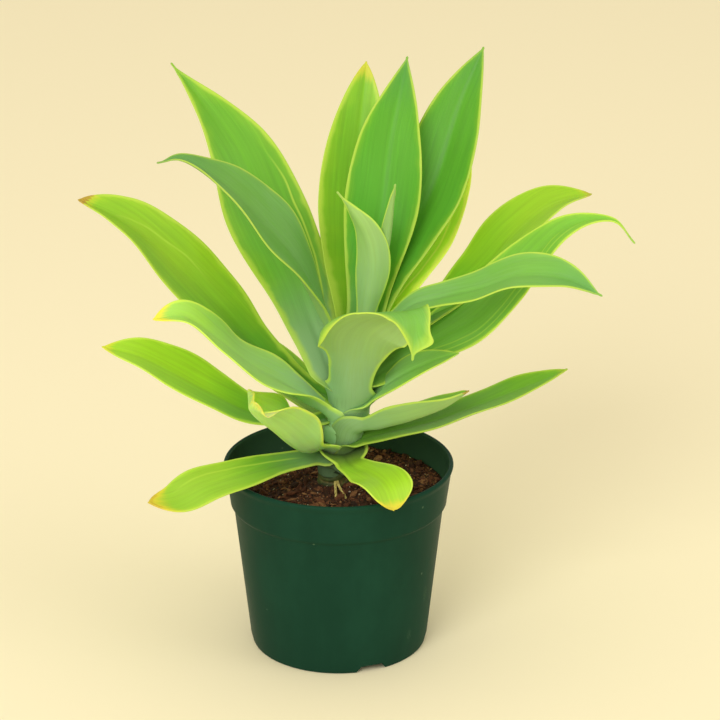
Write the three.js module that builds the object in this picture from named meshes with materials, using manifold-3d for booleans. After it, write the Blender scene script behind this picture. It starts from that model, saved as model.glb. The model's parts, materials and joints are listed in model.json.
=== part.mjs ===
// A foxtail agave (Agave attenuata) in a green plastic nursery pot.
// Millimetres, +Z up. The origin is the middle of the circle that the pot stands on.
// The front of the plant faces -Y and +X is its right-hand side.
import * as THREE from "three";
import { mergeVertices } from "three/addons/utils/BufferGeometryUtils.js";
import Module from "manifold-3d";

const wasm = await Module();
wasm.setup();

// Pot: a thin-walled nursery pot, 15 cm over its lip
const POT_HEIGHT = 126;
const LIP_RADIUS = 75;
const COLLAR_TOP_RADIUS = 73.8;
const COLLAR_FOOT_RADIUS = 70.8;
const COLLAR_HEIGHT = 27;
const BODY_TOP_RADIUS = 68.6;
const BASE_RADIUS = 57.5;
const WALL = 2;
const FLOOR_THICKNESS = 2;
const FOOT_HEIGHT = 5;
const FOOT_WIDTH = 4;
const CENTRE_FOOT_RADIUS = 9;
const NOTCH_WIDTH = 20;
const NOTCH_COUNT = 3;
const NOTCH_TURN = 292;
const DRAIN_RADIUS = 4.5;
const DRAIN_RING_RADIUS = 40;
const POT_SIDES = 56;

// Potting mix, slightly mounded towards the stem
const SOIL_EDGE_Z = 107;
const SOIL_MIDDLE_Z = 112.5;
const SOIL_BUMP = 0.9;
const SOIL_SIDES = 36;

// Stem: a short leaning trunk with leaf scars, and two thin roots at its front
const STEM_SIDES = 12;
const STEM_AXIS = [
  [-4, 0, 88], [-3, 0, 114], [1, 0, 135], [5, 0, 155],
  [9, 0, 178], [14, 0, 203], [18, -1, 222], [21, -1, 234],
];
const STEM_RADIUS = [9, 10.5, 11.5, 12, 11.5, 9.5, 5.5, 2];
const SCAR_PITCH = 7;
const SCAR_DEPTH = 0.7;
const ROOT_RADIUS = 1.3;
const ROOTS = [
  [[-2, -6, 118], [-2, -13, 114.5], [-1.5, -24, 110.5], [-1.5, -37, 104.5]],
  [[-1, -6, 117.5], [0, -13, 114.5], [4, -21, 110.5], [7, -29, 105]],
];

// Clear space kept between any two pieces
const GAP = 0.3;

// Leaf blades: stations along a blade, closer together towards its tip, steps across each half, and
// thickness at the midrib and at the margins, from the base to the tip. The midrib is never thicker than a
// share of the blade's half width, and a blade narrower than the fold's own half width opens flat towards its
// spine. A blunt tip rounds off from BLUNT_TIP_START on
const STATIONS = 12;
const STATION_CROWDING = 1.2;
const HALF_STEPS = 2;
const MIDRIB_THICKNESS = [6.5, 4.2, 3, 1.4];
const MARGIN_THICKNESS = [2, 1.1, 1];
const SPINE_HALF_WIDTH = 0.8;
const THINNEST = 1.2;
const THICKEST_SHARE = 0.45;
const FOLD_HALF_WIDTH = 3;
const BLUNT_TIP_START = 0.86;
const BLUNT_TIP_POWER = 2.6;

// What a leaf has where its own entry says nothing. A line's first point is its root in the stem. Angles are
// in degrees and run from the base to the tip: roll turns the whole blade about its midrib, fold lifts both
// halves into a channel, curl lifts the margins further, and near and far add to the fold of one half, to the
// right or left of someone looking outwards. swell widens one half around a place along the blade, and has
// rows of side (-1 near, 1 far), place, reach and millimetres.
const PLAIN_LEAF = {
  base: 0.5, widest: 0.48, tip: 0, taper: 0.9, roll: [0], fold: [13], curl: [10], near: [0], far: [0],
  swell: [], steps: HALF_STEPS,
};

// Leaves from the middle of the rosette outwards. azimuth is the side that a leaf leans to, line its midrib.
const LEAVES = [
  { name: "bud_spike", azimuth: 300, width: 11, fold: [40],
    line: [[17, -1, 222], [25, -3, 240], [30, -4, 269], [33, -6, 293], [36, -8, 317]] },
  { name: "leaf_inner_pale", azimuth: 265, width: 25, fold: [25], widest: 0.4, taper: 1.6,
    line: [[15, -3, 208], [16, -7, 222], [20, -9, 247], [22, -10, 269], [18, -11, 287], [9, -13, 302],
      [0, -17, 315]] },
  { name: "leaf_tall_centre", azimuth: 80, width: 51, taper: 1.05, fold: [14],
    line: [[15, 1, 202], [17, 6, 218], [22, 17, 252], [29, 28, 293], [34, 38, 332], [39, 44, 357],
      [44, 48, 384]] },
  { name: "leaf_tall_right", azimuth: 72, width: 48, base: 0.34, widest: 0.56, taper: 1, fold: [14, 17, 13],
    line: [[15, 2, 198], [20, 5, 213], [32, 15, 244], [47, 28, 271], [61, 40, 299], [78, 56, 350],
      [93, 64, 386]] },
  { name: "leaf_tall_left", azimuth: 150, width: 57, base: 0.5, widest: 0.48, taper: 1.3,
    roll: [-32, -35, -21], fold: [5, 6, 22],
    line: [[6, 0, 172], [-6, 0, 187], [-12, 4, 204], [-19, 12, 221], [-30, 26, 248], [-46, 36, 280],
      [-67, 50, 325], [-107, 66, 375]] },
  { name: "leaf_arched_left", azimuth: 188, width: 54, base: 0.3, widest: 0.52, taper: 1.3,
    roll: [4, -24, -6], fold: [16, 14, 16],
    line: [[12, -2, 192], [-1, -7, 208], [-14, -12, 242], [-28, -18, 271], [-46, -24, 296], [-69, -30, 323],
      [-94, -34, 341], [-110, -36, 340]] },
  { name: "leaf_back_lime", azimuth: 100, width: 47, taper: 0.8, fold: [13, 11, 11],
    swell: [[1, 0.2, 0.2, 3]],
    line: [[13, 3, 197], [11, 11, 211], [10, 35, 252], [9, 55, 287], [11, 70, 316], [18, 95, 368]] },
  { name: "leaf_behind_tall_right", azimuth: 75, width: 41, base: 0.41, widest: 0.52, taper: 0.7,
    roll: [-7, -3, 1], fold: [16, 14, 10],
    line: [[14, 2, 192], [23, 10, 210], [40, 26, 236], [57, 46, 262], [70, 66, 291], [81, 87, 328]] },
  { name: "leaf_lime_right", azimuth: 30, width: 47, base: 0.31, widest: 0.66, taper: 0.8,
    roll: [2, 6, 5], fold: [10, 14, 17],
    line: [[13, 1, 190], [31, 5, 203], [61, 20, 219], [93, 38, 243], [113, 50, 263], [138, 60, 281],
      [165, 66, 287]] },
  { name: "leaf_arched_right", azimuth: -18, width: 36, base: 0.46, widest: 0.65, taper: 1.2,
    roll: [25, 19, 32], fold: [21, 14, 20],
    line: [[12, -2, 191], [23, -7, 209], [45, -17, 237], [65, -25, 247], [89, -33, 256], [114, -41, 268],
      [141, -48, 269], [163, -54, 260]] },
  { name: "leaf_back_upper_right", azimuth: 66, width: 46,
    line: [[11, 1, 176], [18, 12, 188], [27, 30, 218], [37, 54, 256], [49, 82, 288], [60, 108, 308]] },
  { name: "leaf_back_upper_left", azimuth: 94, width: 46,
    line: [[10, 2, 168], [10, 13, 182], [10, 34, 214], [10, 60, 252], [9, 90, 284], [8, 122, 308]] },
  { name: "leaf_behind_left", azimuth: 150, width: 40, roll: [-25], fold: [12],
    line: [[10, 1, 180], [0, 7, 192], [-15, 20, 208], [-26, 30, 227], [-35, 38, 244], [-43, 45, 266]] },
  { name: "leaf_long_right", azimuth: 5, width: 48, base: 0.46, widest: 0.36, taper: 1.8,
    roll: [27, 28, 23], fold: [12, 10, 17],
    line: [[9, -1, 170], [24, -2, 184], [61, 4, 206], [89, 6, 224], [111, 6, 248], [142, 2, 283],
      [172, -2, 292], [187, -6, 278]] },
  { name: "leaf_scoop_front", azimuth: 305, width: 61, base: 0.46, widest: 0.62, taper: 1.7,
    roll: [-47, -28, 13], fold: [18, -16, 16], steps: 3,
    swell: [[-1, 0, 0.09, 6], [-1, 0.25, 0.1, -4], [1, 0.82, 0.05, -5], [1, 0.925, 0.035, 7]],
    line: [[8, -3, 164], [7, -17, 178], [9, -34, 213], [16, -52, 238], [33, -66, 252], [46, -78, 254],
      [46, -86, 230]] },
  { name: "leaf_under_right", azimuth: -20, width: 28, roll: [25], fold: [12],
    line: [[7, 0, 160], [19, -8, 170], [30, -14, 182], [43, -20, 194], [58, -26, 204], [76, -31, 213]] },
  { name: "leaf_long_left", azimuth: 172, width: 51, base: 0.3, widest: 0.6, taper: 0.7,
    roll: [-27, -28, -17], fold: [13, 11, 23],
    line: [[7, 0, 160], [-4, 2, 168], [-26, 6, 179], [-56, 12, 203], [-81, 15, 231], [-120, 18, 271],
      [-143, 19, 288], [-165, 20, 298]] },
  { name: "leaf_back_right", azimuth: 48, width: 48,
    line: [[6, 1, 156], [14, 8, 163], [36, 33, 179], [62, 62, 199], [86, 89, 210], [103, 109, 210]] },
  { name: "leaf_folded_left", azimuth: 196, width: 50, base: 0.33, widest: 0.36, taper: 0.7,
    roll: [-8, -11, -25], fold: [29, 5, 24], far: [18, 0, 0, 0],
    line: [[6, -1, 151], [-6, -8, 162], [-32, -20, 185], [-57, -30, 205], [-75, -38, 224], [-95, -44, 242],
      [-114, -50, 243]] },
  { name: "leaf_back_left", azimuth: 136, width: 44,
    line: [[4, 1, 144], [-4, 8, 148], [-27, 31, 161], [-53, 56, 175], [-74, 76, 182], [-88, 90, 180]] },
  { name: "leaf_back_low", azimuth: 92, width: 48,
    line: [[3, 1, 140], [3, 12, 147], [3, 47, 168], [2, 89, 187], [0, 129, 195], [-1, 158, 187]] },
  { name: "leaf_low_left", azimuth: 186, width: 42, base: 0.3, widest: 0.63, taper: 0.85,
    roll: [-19, -23, -24], fold: [14, 15, 13],
    line: [[4, 0, 155], [-7, -3, 156], [-26, -6, 156], [-56, -10, 163], [-81, -12, 177], [-106, -14, 193],
      [-128, -14, 205], [-150, -12, 210]] },
  { name: "leaf_rolled_right", azimuth: 340, width: 30, base: 0.59, widest: 0.42, taper: 0.8,
    roll: [5, 5, 3], fold: [29, 14, 22], near: [42, 52, 10],
    line: [[3, -2, 146], [13, -13, 154], [25, -20, 159], [48, -32, 170], [68, -42, 182], [82, -50, 195]] },
  { name: "leaf_cupped_left", azimuth: 215, width: 53, base: 0.37, widest: 0.48, tip: 0.4, taper: 0.6,
    roll: [-19, -1, 6], fold: [25, 49, 30], curl: [0], near: [0, 0, 10], far: [15, 15, 14, -12], steps: 3,
    swell: [[-1, 0.42, 0.2, 5], [1, 0.93, 0.08, -2]],
    line: [[0, -1, 132], [-11, -11, 141], [-24, -28, 147], [-40, -46, 167], [-53, -58, 184],
      [-52, -62, 193]] },
  { name: "leaf_low_right", azimuth: 352, width: 34, base: 0.51, widest: 0.57, roll: [14, 4, 19],
    fold: [12, 10, 11],
    line: [[1, -1, 134], [12, -8, 142], [30, -14, 150], [60, -20, 160], [89, -24, 173], [117, -27, 187],
      [145, -28, 201]] },
  { name: "leaf_rim_front", azimuth: 305, width: 39, base: 0.53, widest: 0.75, tip: 0.45, taper: 1.3,
    roll: [2, 4, -14], fold: [13, 9, 5],
    line: [[0, -3, 131], [4, -17, 135], [9, -28, 133], [22, -50, 136], [30, -68, 136], [35, -78, 126]] },
  { name: "leaf_rim_left", azimuth: 216, width: 30, base: 0.47, widest: 0.7, taper: 0.7,
    roll: [-29, -22, -28], fold: [6, 9, 6],
    line: [[0, -2, 128], [-10, -10, 133], [-36, -26, 135], [-60, -44, 135], [-84, -60, 134], [-102, -72, 130],
      [-118, -80, 132]] },
];

const vec = (p) => new THREE.Vector3(...p);
const mix = THREE.MathUtils.lerp;
const clamp = THREE.MathUtils.clamp;
const rad = THREE.MathUtils.degToRad;

// The value at t, 0 to 1, of a short list of evenly spread ones, eased from each to the next.
function along(values, t) {
  if (values.length === 1) return values[0];
  const x = t * (values.length - 1);
  const i = Math.min(Math.floor(x), values.length - 2);
  const f = x - i;
  return mix(values[i], values[i + 1], f * f * (3 - 2 * f));
}

// A closed geometry as a solid: shared corners merged, faces that collapsed dropped.
function solidOf(geometry) {
  const plain = geometry.clone();
  plain.deleteAttribute("normal");
  plain.deleteAttribute("uv");
  const merged = mergeVertices(plain, 1e-3);
  const kept = [];
  const index = merged.index.array;
  for (let i = 0; i < index.length; i += 3) {
    const [a, b, c] = index.slice(i, i + 3);
    if (a !== b && b !== c && c !== a) kept.push(a, b, c);
  }
  return new wasm.Manifold(new wasm.Mesh({
    numProp: 3,
    vertProperties: merged.attributes.position.array,
    triVerts: new Uint32Array(kept),
  }));
}

function geometryOf(solid) {
  const mesh = solid.getMesh();
  const geometry = new THREE.BufferGeometry();
  geometry.setAttribute("position", new THREE.BufferAttribute(new Float32Array(mesh.vertProperties), 3));
  geometry.setIndex(new THREE.BufferAttribute(new Uint32Array(mesh.triVerts), 1));
  geometry.computeVertexNormals();
  return geometry;
}

function biggestBody(solid) {
  const bodies = solid.decompose();
  return bodies.reduce((best, body) => (body.volume() > best.volume() ? body : best));
}

// A turned shape about Z from [radius, height] pairs. The outline runs down the inside and up the outside.
function turned(outline, sides) {
  const points = outline.map(([radius, height]) => new THREE.Vector2(radius, height));
  return new THREE.LatheGeometry(points, sides).rotateX(Math.PI / 2);
}

// Half the width of a blade at t: it widens from the base, then tapers to the spine or blunt end at the tip.
function halfWidth(leaf, t, sign) {
  const rise = clamp(t / leaf.widest, 0, 1);
  const fall = clamp((t - leaf.widest) / (1 - leaf.widest), 0, 1);
  const share = t < leaf.widest
    ? mix(leaf.base, 1, rise * rise * (3 - 2 * rise))
    : mix(leaf.tip, 1, Math.pow(1 - fall * fall, leaf.taper));
  const late = leaf.tip ? clamp((t - BLUNT_TIP_START) / (1 - BLUNT_TIP_START), 0, 1) : 0;
  const blunt = Math.pow(1 - Math.pow(late, BLUNT_TIP_POWER), 1 / BLUNT_TIP_POWER);
  let half = leaf.width / 2 * share * blunt;
  for (const [side, place, reach, size] of leaf.swell) {
    if (side === sign) half += size * Math.exp(-Math.pow((t - place) / reach, 2));
  }
  return Math.max(half, SPINE_HALF_WIDTH);
}

// The blade's own axes at a point of its midrib: side across it and up out of its upper face.
function bladeAxes(leaf, tangent, t) {
  const turn = rad(leaf.azimuth);
  const side = new THREE.Vector3(-Math.sin(turn), Math.cos(turn), 0);
  side.addScaledVector(tangent, -side.dot(tangent)).normalize();
  const up = new THREE.Vector3().crossVectors(tangent, side);
  const roll = rad(along(leaf.roll, t));
  side.applyAxisAngle(tangent, roll);
  up.applyAxisAngle(tangent, roll);
  return { side, up };
}

// One cross-section: points of the upper and the lower face from the right margin to the left one.
function section(leaf, centre, axes, t, grow) {
  const narrower = Math.min(halfWidth(leaf, t, -1), halfWidth(leaf, t, 1)) + grow;
  const midrib = clamp(THICKEST_SHARE * narrower, THINNEST, along(MIDRIB_THICKNESS, t));
  const margin = Math.min(midrib, along(MARGIN_THICKNESS, t));
  const points = [];
  for (const [sign, extra] of [[-1, leaf.near], [1, leaf.far]]) {
    const half = halfWidth(leaf, t, sign) + grow;
    const open = Math.min(1, half / FOLD_HALF_WIDTH);
    const fold = open * rad(along(leaf.fold, t) + along(extra, t));
    const curl = open * rad(along(leaf.curl, t));
    let across = 0;
    let lift = 0;
    for (let step = sign > 0 ? 0 : 1; step <= leaf.steps; step++) {
      const slope = step === 0 ? 0 : fold + curl * Math.pow((step - 0.5) / leaf.steps, 2);
      if (step > 0) {
        across += half / leaf.steps * Math.cos(slope);
        lift += half / leaf.steps * Math.sin(slope);
      }
      const share = step / leaf.steps;
      const thick = mix(midrib, margin, share * share);
      const middle = centre.clone().addScaledVector(axes.side, sign * across).addScaledVector(axes.up, lift);
      const normal = axes.up.clone().multiplyScalar(Math.cos(slope));
      normal.addScaledVector(axes.side, -sign * Math.sin(slope));
      const pair = [1, -1].map((face) => middle.clone().addScaledVector(normal, face * (thick / 2 + grow)));
      if (sign < 0) points.unshift(pair);
      else points.push(pair);
    }
  }
  return points;
}

// A blade as one closed solid. Both faces are split along the same diagonals.
function leafSolid(entry, grow) {
  const leaf = { ...PLAIN_LEAF, ...entry };
  const curve = new THREE.CatmullRomCurve3(leaf.line.map(vec), false, "catmullrom", 0.5);
  const neck = curve.points[0].distanceTo(curve.points[1]) / curve.getLength();
  const columns = 2 * leaf.steps + 1;
  const positions = [];
  for (let i = 0; i <= STATIONS; i++) {
    const reach = 1 - Math.pow(1 - i / STATIONS, STATION_CROWDING);
    const tangent = curve.getTangentAt(reach);
    const centre = curve.getPointAt(reach);
    const t = Math.max(0, (reach - neck) / (1 - neck));
    if (i === 0) centre.addScaledVector(tangent, -grow);
    if (i === STATIONS) centre.addScaledVector(tangent, grow);
    const rows = section(leaf, centre, bladeAxes(leaf, tangent, t), t, grow);
    for (const face of [0, 1]) for (const pair of rows) positions.push(...pair[face].toArray());
  }
  const at = (i, j, face) => (2 * i + face) * columns + j;
  const index = [];
  const quad = (a, b, c, d) => index.push(a, b, c, a, c, d);
  const last = columns - 1;
  for (let i = 0; i < STATIONS; i++) {
    for (let j = 0; j < last; j++) {
      quad(at(i, j, 0), at(i + 1, j, 0), at(i + 1, j + 1, 0), at(i, j + 1, 0));
      index.push(at(i, j, 1), at(i + 1, j + 1, 1), at(i + 1, j, 1));
      index.push(at(i, j, 1), at(i, j + 1, 1), at(i + 1, j + 1, 1));
    }
    quad(at(i, last, 0), at(i + 1, last, 0), at(i + 1, last, 1), at(i, last, 1));
    quad(at(i, 0, 0), at(i, 0, 1), at(i + 1, 0, 1), at(i + 1, 0, 0));
  }
  for (let j = 0; j < last; j++) {
    quad(at(0, j, 0), at(0, j + 1, 0), at(0, j + 1, 1), at(0, j, 1));
    quad(at(STATIONS, j, 0), at(STATIONS, j, 1), at(STATIONS, j + 1, 1), at(STATIONS, j + 1, 0));
  }
  const geometry = new THREE.BufferGeometry();
  geometry.setAttribute("position", new THREE.BufferAttribute(new Float32Array(positions), 3));
  geometry.setIndex(index);
  return solidOf(geometry);
}

// The trunk is turned with a ring at each leaf scar, then leaned along its axis. The roots are joined to it.
function stemSolid(grow) {
  const axis = new THREE.CatmullRomCurve3(STEM_AXIS.map(vec), false, "catmullrom", 0.5);
  const top = STEM_AXIS.at(-1)[2];
  const foot = STEM_AXIS[0][2];
  const rings = Math.round((top - foot) / SCAR_PITCH) * 2;
  const outline = [[0, foot - grow]];
  for (let k = 0; k <= rings; k++) {
    const scar = k % 2 ? SCAR_DEPTH : 0;
    outline.push([along(STEM_RADIUS, k / rings) - scar + grow, mix(foot - grow, top + grow, k / rings)]);
  }
  outline.push([0, top + grow]);
  const trunk = turned(outline, STEM_SIDES);
  const place = trunk.attributes.position;
  for (let i = 0; i < place.count; i++) {
    const centre = axis.getPoint(clamp((place.getZ(i) - foot) / (top - foot), 0, 1));
    place.setX(i, place.getX(i) + centre.x);
    place.setY(i, place.getY(i) + centre.y);
  }
  return ROOTS.reduce((solid, line) => solid.add(rootSolid(line, grow)), solidOf(trunk));
}

function rootSolid(line, grow) {
  const round = new THREE.Shape();
  round.absarc(0, 0, ROOT_RADIUS + grow, 0, 2 * Math.PI);
  const path = new THREE.CatmullRomCurve3(line.map(vec));
  const how = { steps: 6, curveSegments: 4, bevelEnabled: false, extrudePath: path };
  return solidOf(new THREE.ExtrudeGeometry(round, how));
}

// Inside radius of the pot at a height, which the potting mix follows too.
function insideRadius(z) {
  const step = POT_HEIGHT - COLLAR_HEIGHT;
  if (z <= step) return mix(BASE_RADIUS + 0.8, BODY_TOP_RADIUS, z / step) - WALL;
  return mix(COLLAR_FOOT_RADIUS, COLLAR_TOP_RADIUS, (z - step) / (COLLAR_HEIGHT - 4)) - WALL;
}

function potSolid() {
  const step = POT_HEIGHT - COLLAR_HEIGHT;
  const floorTop = FOOT_HEIGHT + FLOOR_THICKNESS;
  const outline = [
    [0, 0], [CENTRE_FOOT_RADIUS, 0], [CENTRE_FOOT_RADIUS + 1, FOOT_HEIGHT],
    [BASE_RADIUS - FOOT_WIDTH - 1, FOOT_HEIGHT], [BASE_RADIUS - FOOT_WIDTH, 0],
    [BASE_RADIUS - 0.8, 0], [BASE_RADIUS, 0.8], [BASE_RADIUS + 1.2, 6],
    [BODY_TOP_RADIUS, step - 2], [COLLAR_FOOT_RADIUS, step], [COLLAR_TOP_RADIUS, POT_HEIGHT - 4],
    [LIP_RADIUS - 0.4, POT_HEIGHT - 3], [LIP_RADIUS, POT_HEIGHT - 1.6], [LIP_RADIUS - 0.6, POT_HEIGHT - 0.3],
    [LIP_RADIUS - 1.3, POT_HEIGHT], [LIP_RADIUS - 2.3, POT_HEIGHT - 0.4],
    [LIP_RADIUS - 2.8, POT_HEIGHT - 1.8],
    [insideRadius(POT_HEIGHT - 4), POT_HEIGHT - 4], [insideRadius(step + 0.5), step + 0.5],
    [insideRadius(step - 2), step - 2], [insideRadius(floorTop + 3), floorTop + 3],
    [insideRadius(floorTop) - 3, floorTop], [0, floorTop],
  ];
  let pot = solidOf(turned(outline, POT_SIDES));
  const notch = new THREE.Shape();
  const foot = NOTCH_WIDTH / 2;
  notch.moveTo(-foot - 1, -1).lineTo(foot + 1, -1);
  notch.lineTo(foot - 3, FOOT_HEIGHT - 0.3).lineTo(3 - foot, FOOT_HEIGHT - 0.3);
  for (let k = 0; k < NOTCH_COUNT; k++) {
    const turn = rad(NOTCH_TURN + k * 360 / NOTCH_COUNT);
    const gate = new THREE.ExtrudeGeometry(notch, { depth: 20, bevelEnabled: false });
    gate.rotateX(Math.PI / 2).translate(0, BASE_RADIUS + 8, 0).rotateZ(turn - Math.PI / 2);
    const drain = new THREE.CylinderGeometry(DRAIN_RADIUS, DRAIN_RADIUS, 10, 16).rotateX(Math.PI / 2);
    drain.translate(DRAIN_RING_RADIUS, 0, FOOT_HEIGHT + 1).rotateZ(turn);
    pot = pot.subtract(solidOf(gate)).subtract(solidOf(drain));
  }
  return pot;
}

// Low bumps of the mix's surface, from a few waves.
function soilBump(x, y) {
  return SOIL_BUMP * (Math.sin(0.21 * x + 1.3) * Math.cos(0.17 * y) + 0.6 * Math.sin(0.43 * y - 0.29 * x));
}

function soilSolid() {
  const floor = FOOT_HEIGHT + FLOOR_THICKNESS + GAP;
  const step = POT_HEIGHT - COLLAR_HEIGHT;
  const edge = insideRadius(SOIL_EDGE_Z) - GAP;
  const outline = [
    [0, floor], [insideRadius(floor) - 3.5, floor], [insideRadius(floor + 3.5) - GAP, floor + 3.5],
    [insideRadius(step - 2) - GAP - 0.1, step - 2], [insideRadius(step + 1) - 2 * GAP, step + 1],
    [edge, SOIL_EDGE_Z], [56, 108], [44, 108.5], [33, 109], [22, 110],
    [12, SOIL_MIDDLE_Z - 0.5], [0, SOIL_MIDDLE_Z],
  ];
  const shape = turned(outline, SOIL_SIDES);
  const place = shape.attributes.position;
  for (let i = 0; i < place.count; i++) {
    const [x, y, z] = [place.getX(i), place.getY(i), place.getZ(i)];
    if (z > SOIL_EDGE_Z + 0.5) place.setZ(i, z + soilBump(x, y));
  }
  return solidOf(shape);
}

const leafGreen = { color: 0x55a52d, roughness: 0.45, metalness: 0 };
const FINISH = {
  pot: { color: 0x1e4632, roughness: 0.45, metalness: 0 },
  potting_mix: { color: 0x4a2c20, roughness: 0.95, metalness: 0 },
  stem: { color: 0x6f8f4a, roughness: 0.6, metalness: 0 },
};

const plant = new THREE.Group();
function place(name, solid) {
  const mesh = new THREE.Mesh(geometryOf(solid), new THREE.MeshStandardMaterial(FINISH[name] ?? leafGreen));
  mesh.name = name;
  plant.add(mesh);
}

const stemRoom = stemSolid(GAP);
place("pot", potSolid());
place("potting_mix", soilSolid().subtract(stemRoom));
place("stem", stemSolid(0));

// Each leaf is trimmed clear of the stem and of the leaves nearer the middle that it clasps.
const room = [];
for (const leaf of LEAVES) {
  let blade = leafSolid(leaf, 0).subtract(stemRoom);
  for (const other of room) blade = blade.subtract(other);
  place(leaf.name, biggestBody(blade));
  room.push(leafSolid(leaf, GAP));
}

export default plant;
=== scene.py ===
# A potted foxtail agave: a rosette of broad leaves on a short stem, in a green nursery pot.
# Everything is in metres with +Z up. The front of the plant faces -Y. Leaf and stem lines are listed in
# millimetres, and MM turns them into metres.
import json
import math
from types import SimpleNamespace

import bmesh
import bpy
import numpy as np
from bpy.props import FloatProperty, FloatVectorProperty, IntProperty, PointerProperty
from mathutils import Matrix, Vector, noise


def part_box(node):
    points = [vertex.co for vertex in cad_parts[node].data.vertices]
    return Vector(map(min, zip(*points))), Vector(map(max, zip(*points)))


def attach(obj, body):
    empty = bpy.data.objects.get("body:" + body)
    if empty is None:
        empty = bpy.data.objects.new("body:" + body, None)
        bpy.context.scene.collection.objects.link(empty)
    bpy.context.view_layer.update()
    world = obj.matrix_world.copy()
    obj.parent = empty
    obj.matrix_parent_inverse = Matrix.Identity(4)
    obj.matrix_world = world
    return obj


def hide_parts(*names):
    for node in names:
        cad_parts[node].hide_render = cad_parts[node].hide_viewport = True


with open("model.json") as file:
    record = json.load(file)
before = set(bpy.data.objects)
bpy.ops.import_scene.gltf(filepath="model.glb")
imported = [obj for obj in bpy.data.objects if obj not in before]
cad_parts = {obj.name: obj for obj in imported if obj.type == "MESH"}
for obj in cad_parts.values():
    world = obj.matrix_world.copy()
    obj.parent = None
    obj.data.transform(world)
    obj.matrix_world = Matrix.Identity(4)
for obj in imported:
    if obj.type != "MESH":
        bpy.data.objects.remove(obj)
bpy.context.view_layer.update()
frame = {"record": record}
POT_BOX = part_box("pot")

bl_info = {
    "name": "Potted Foxtail Agave",
    "version": (1, 0, 0),
    "blender": (4, 5, 0),
    "location": "3D View > Sidebar > Agave",
    "description": "Builds a foxtail agave rosette in a nursery pot",
    "category": "Add Mesh",
}

MM = 0.001


def srgb(red, green, blue):
    """A colour given as 0 to 255 screen values, in the linear values that shaders take."""
    def linear(value):
        share = value / 255
        return share / 12.92 if share <= 0.04045 else ((share + 0.055) / 1.055) ** 2.4
    return tuple(linear(value) for value in (red, green, blue))


# Stem: the middle line of the trunk, its radius at even steps along the height, and two roots at its front
STEM_AXIS = [
    (-4, 0, 88), (-3, 0, 114), (1, 0, 135), (5, 0, 155),
    (9, 0, 178), (14, 0, 203), (18, -1, 222), (21, -1, 234),
]
STEM_RADIUS = [9, 10.5, 11.5, 12, 11.5, 9.5, 5.5, 2]
ROOTS = [
    [(-2, -6, 118), (-2, -13, 114.5), (-1.5, -24, 110.5), (-1.5, -37, 104.5)],
    [(-1, -6, 117.5), (0, -13, 114.5), (4, -21, 110.5), (7, -29, 105)],
]

# What a leaf has where its own entry says nothing. The near half of a blade is on the right of someone who
# looks outwards along it. Lists run evenly from the base to the tip, and angles are in degrees.
#   width       greatest width in mm
#   base, tip   width at the base and the blunt tip, as shares of the greatest
#   widest      where along the blade it is widest, 0 to 1
#   taper       how the width falls towards the tip: higher is sooner
#   roll        turn of the blade about its midrib
#   fold        how far both halves lift into a channel
#   curl        how much further the margins lift
#   near, far   what is added to the fold of the near or the far half
#   swell       places where one half is wider: (side, place along, reach, mm). Side -1 is near, 1 far.
#   lips        places where a margin rolls down: (side, place along, reach, degrees)
#   clasp       how far the sheath reaches round the stem, as a share of the setting
PLAIN_LEAF = dict(base=0.5, widest=0.48, tip=0, taper=0.9, roll=[0], fold=[13], curl=[10], near=[0], far=[0],
                  swell=[], lips=[], clasp=1)

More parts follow.
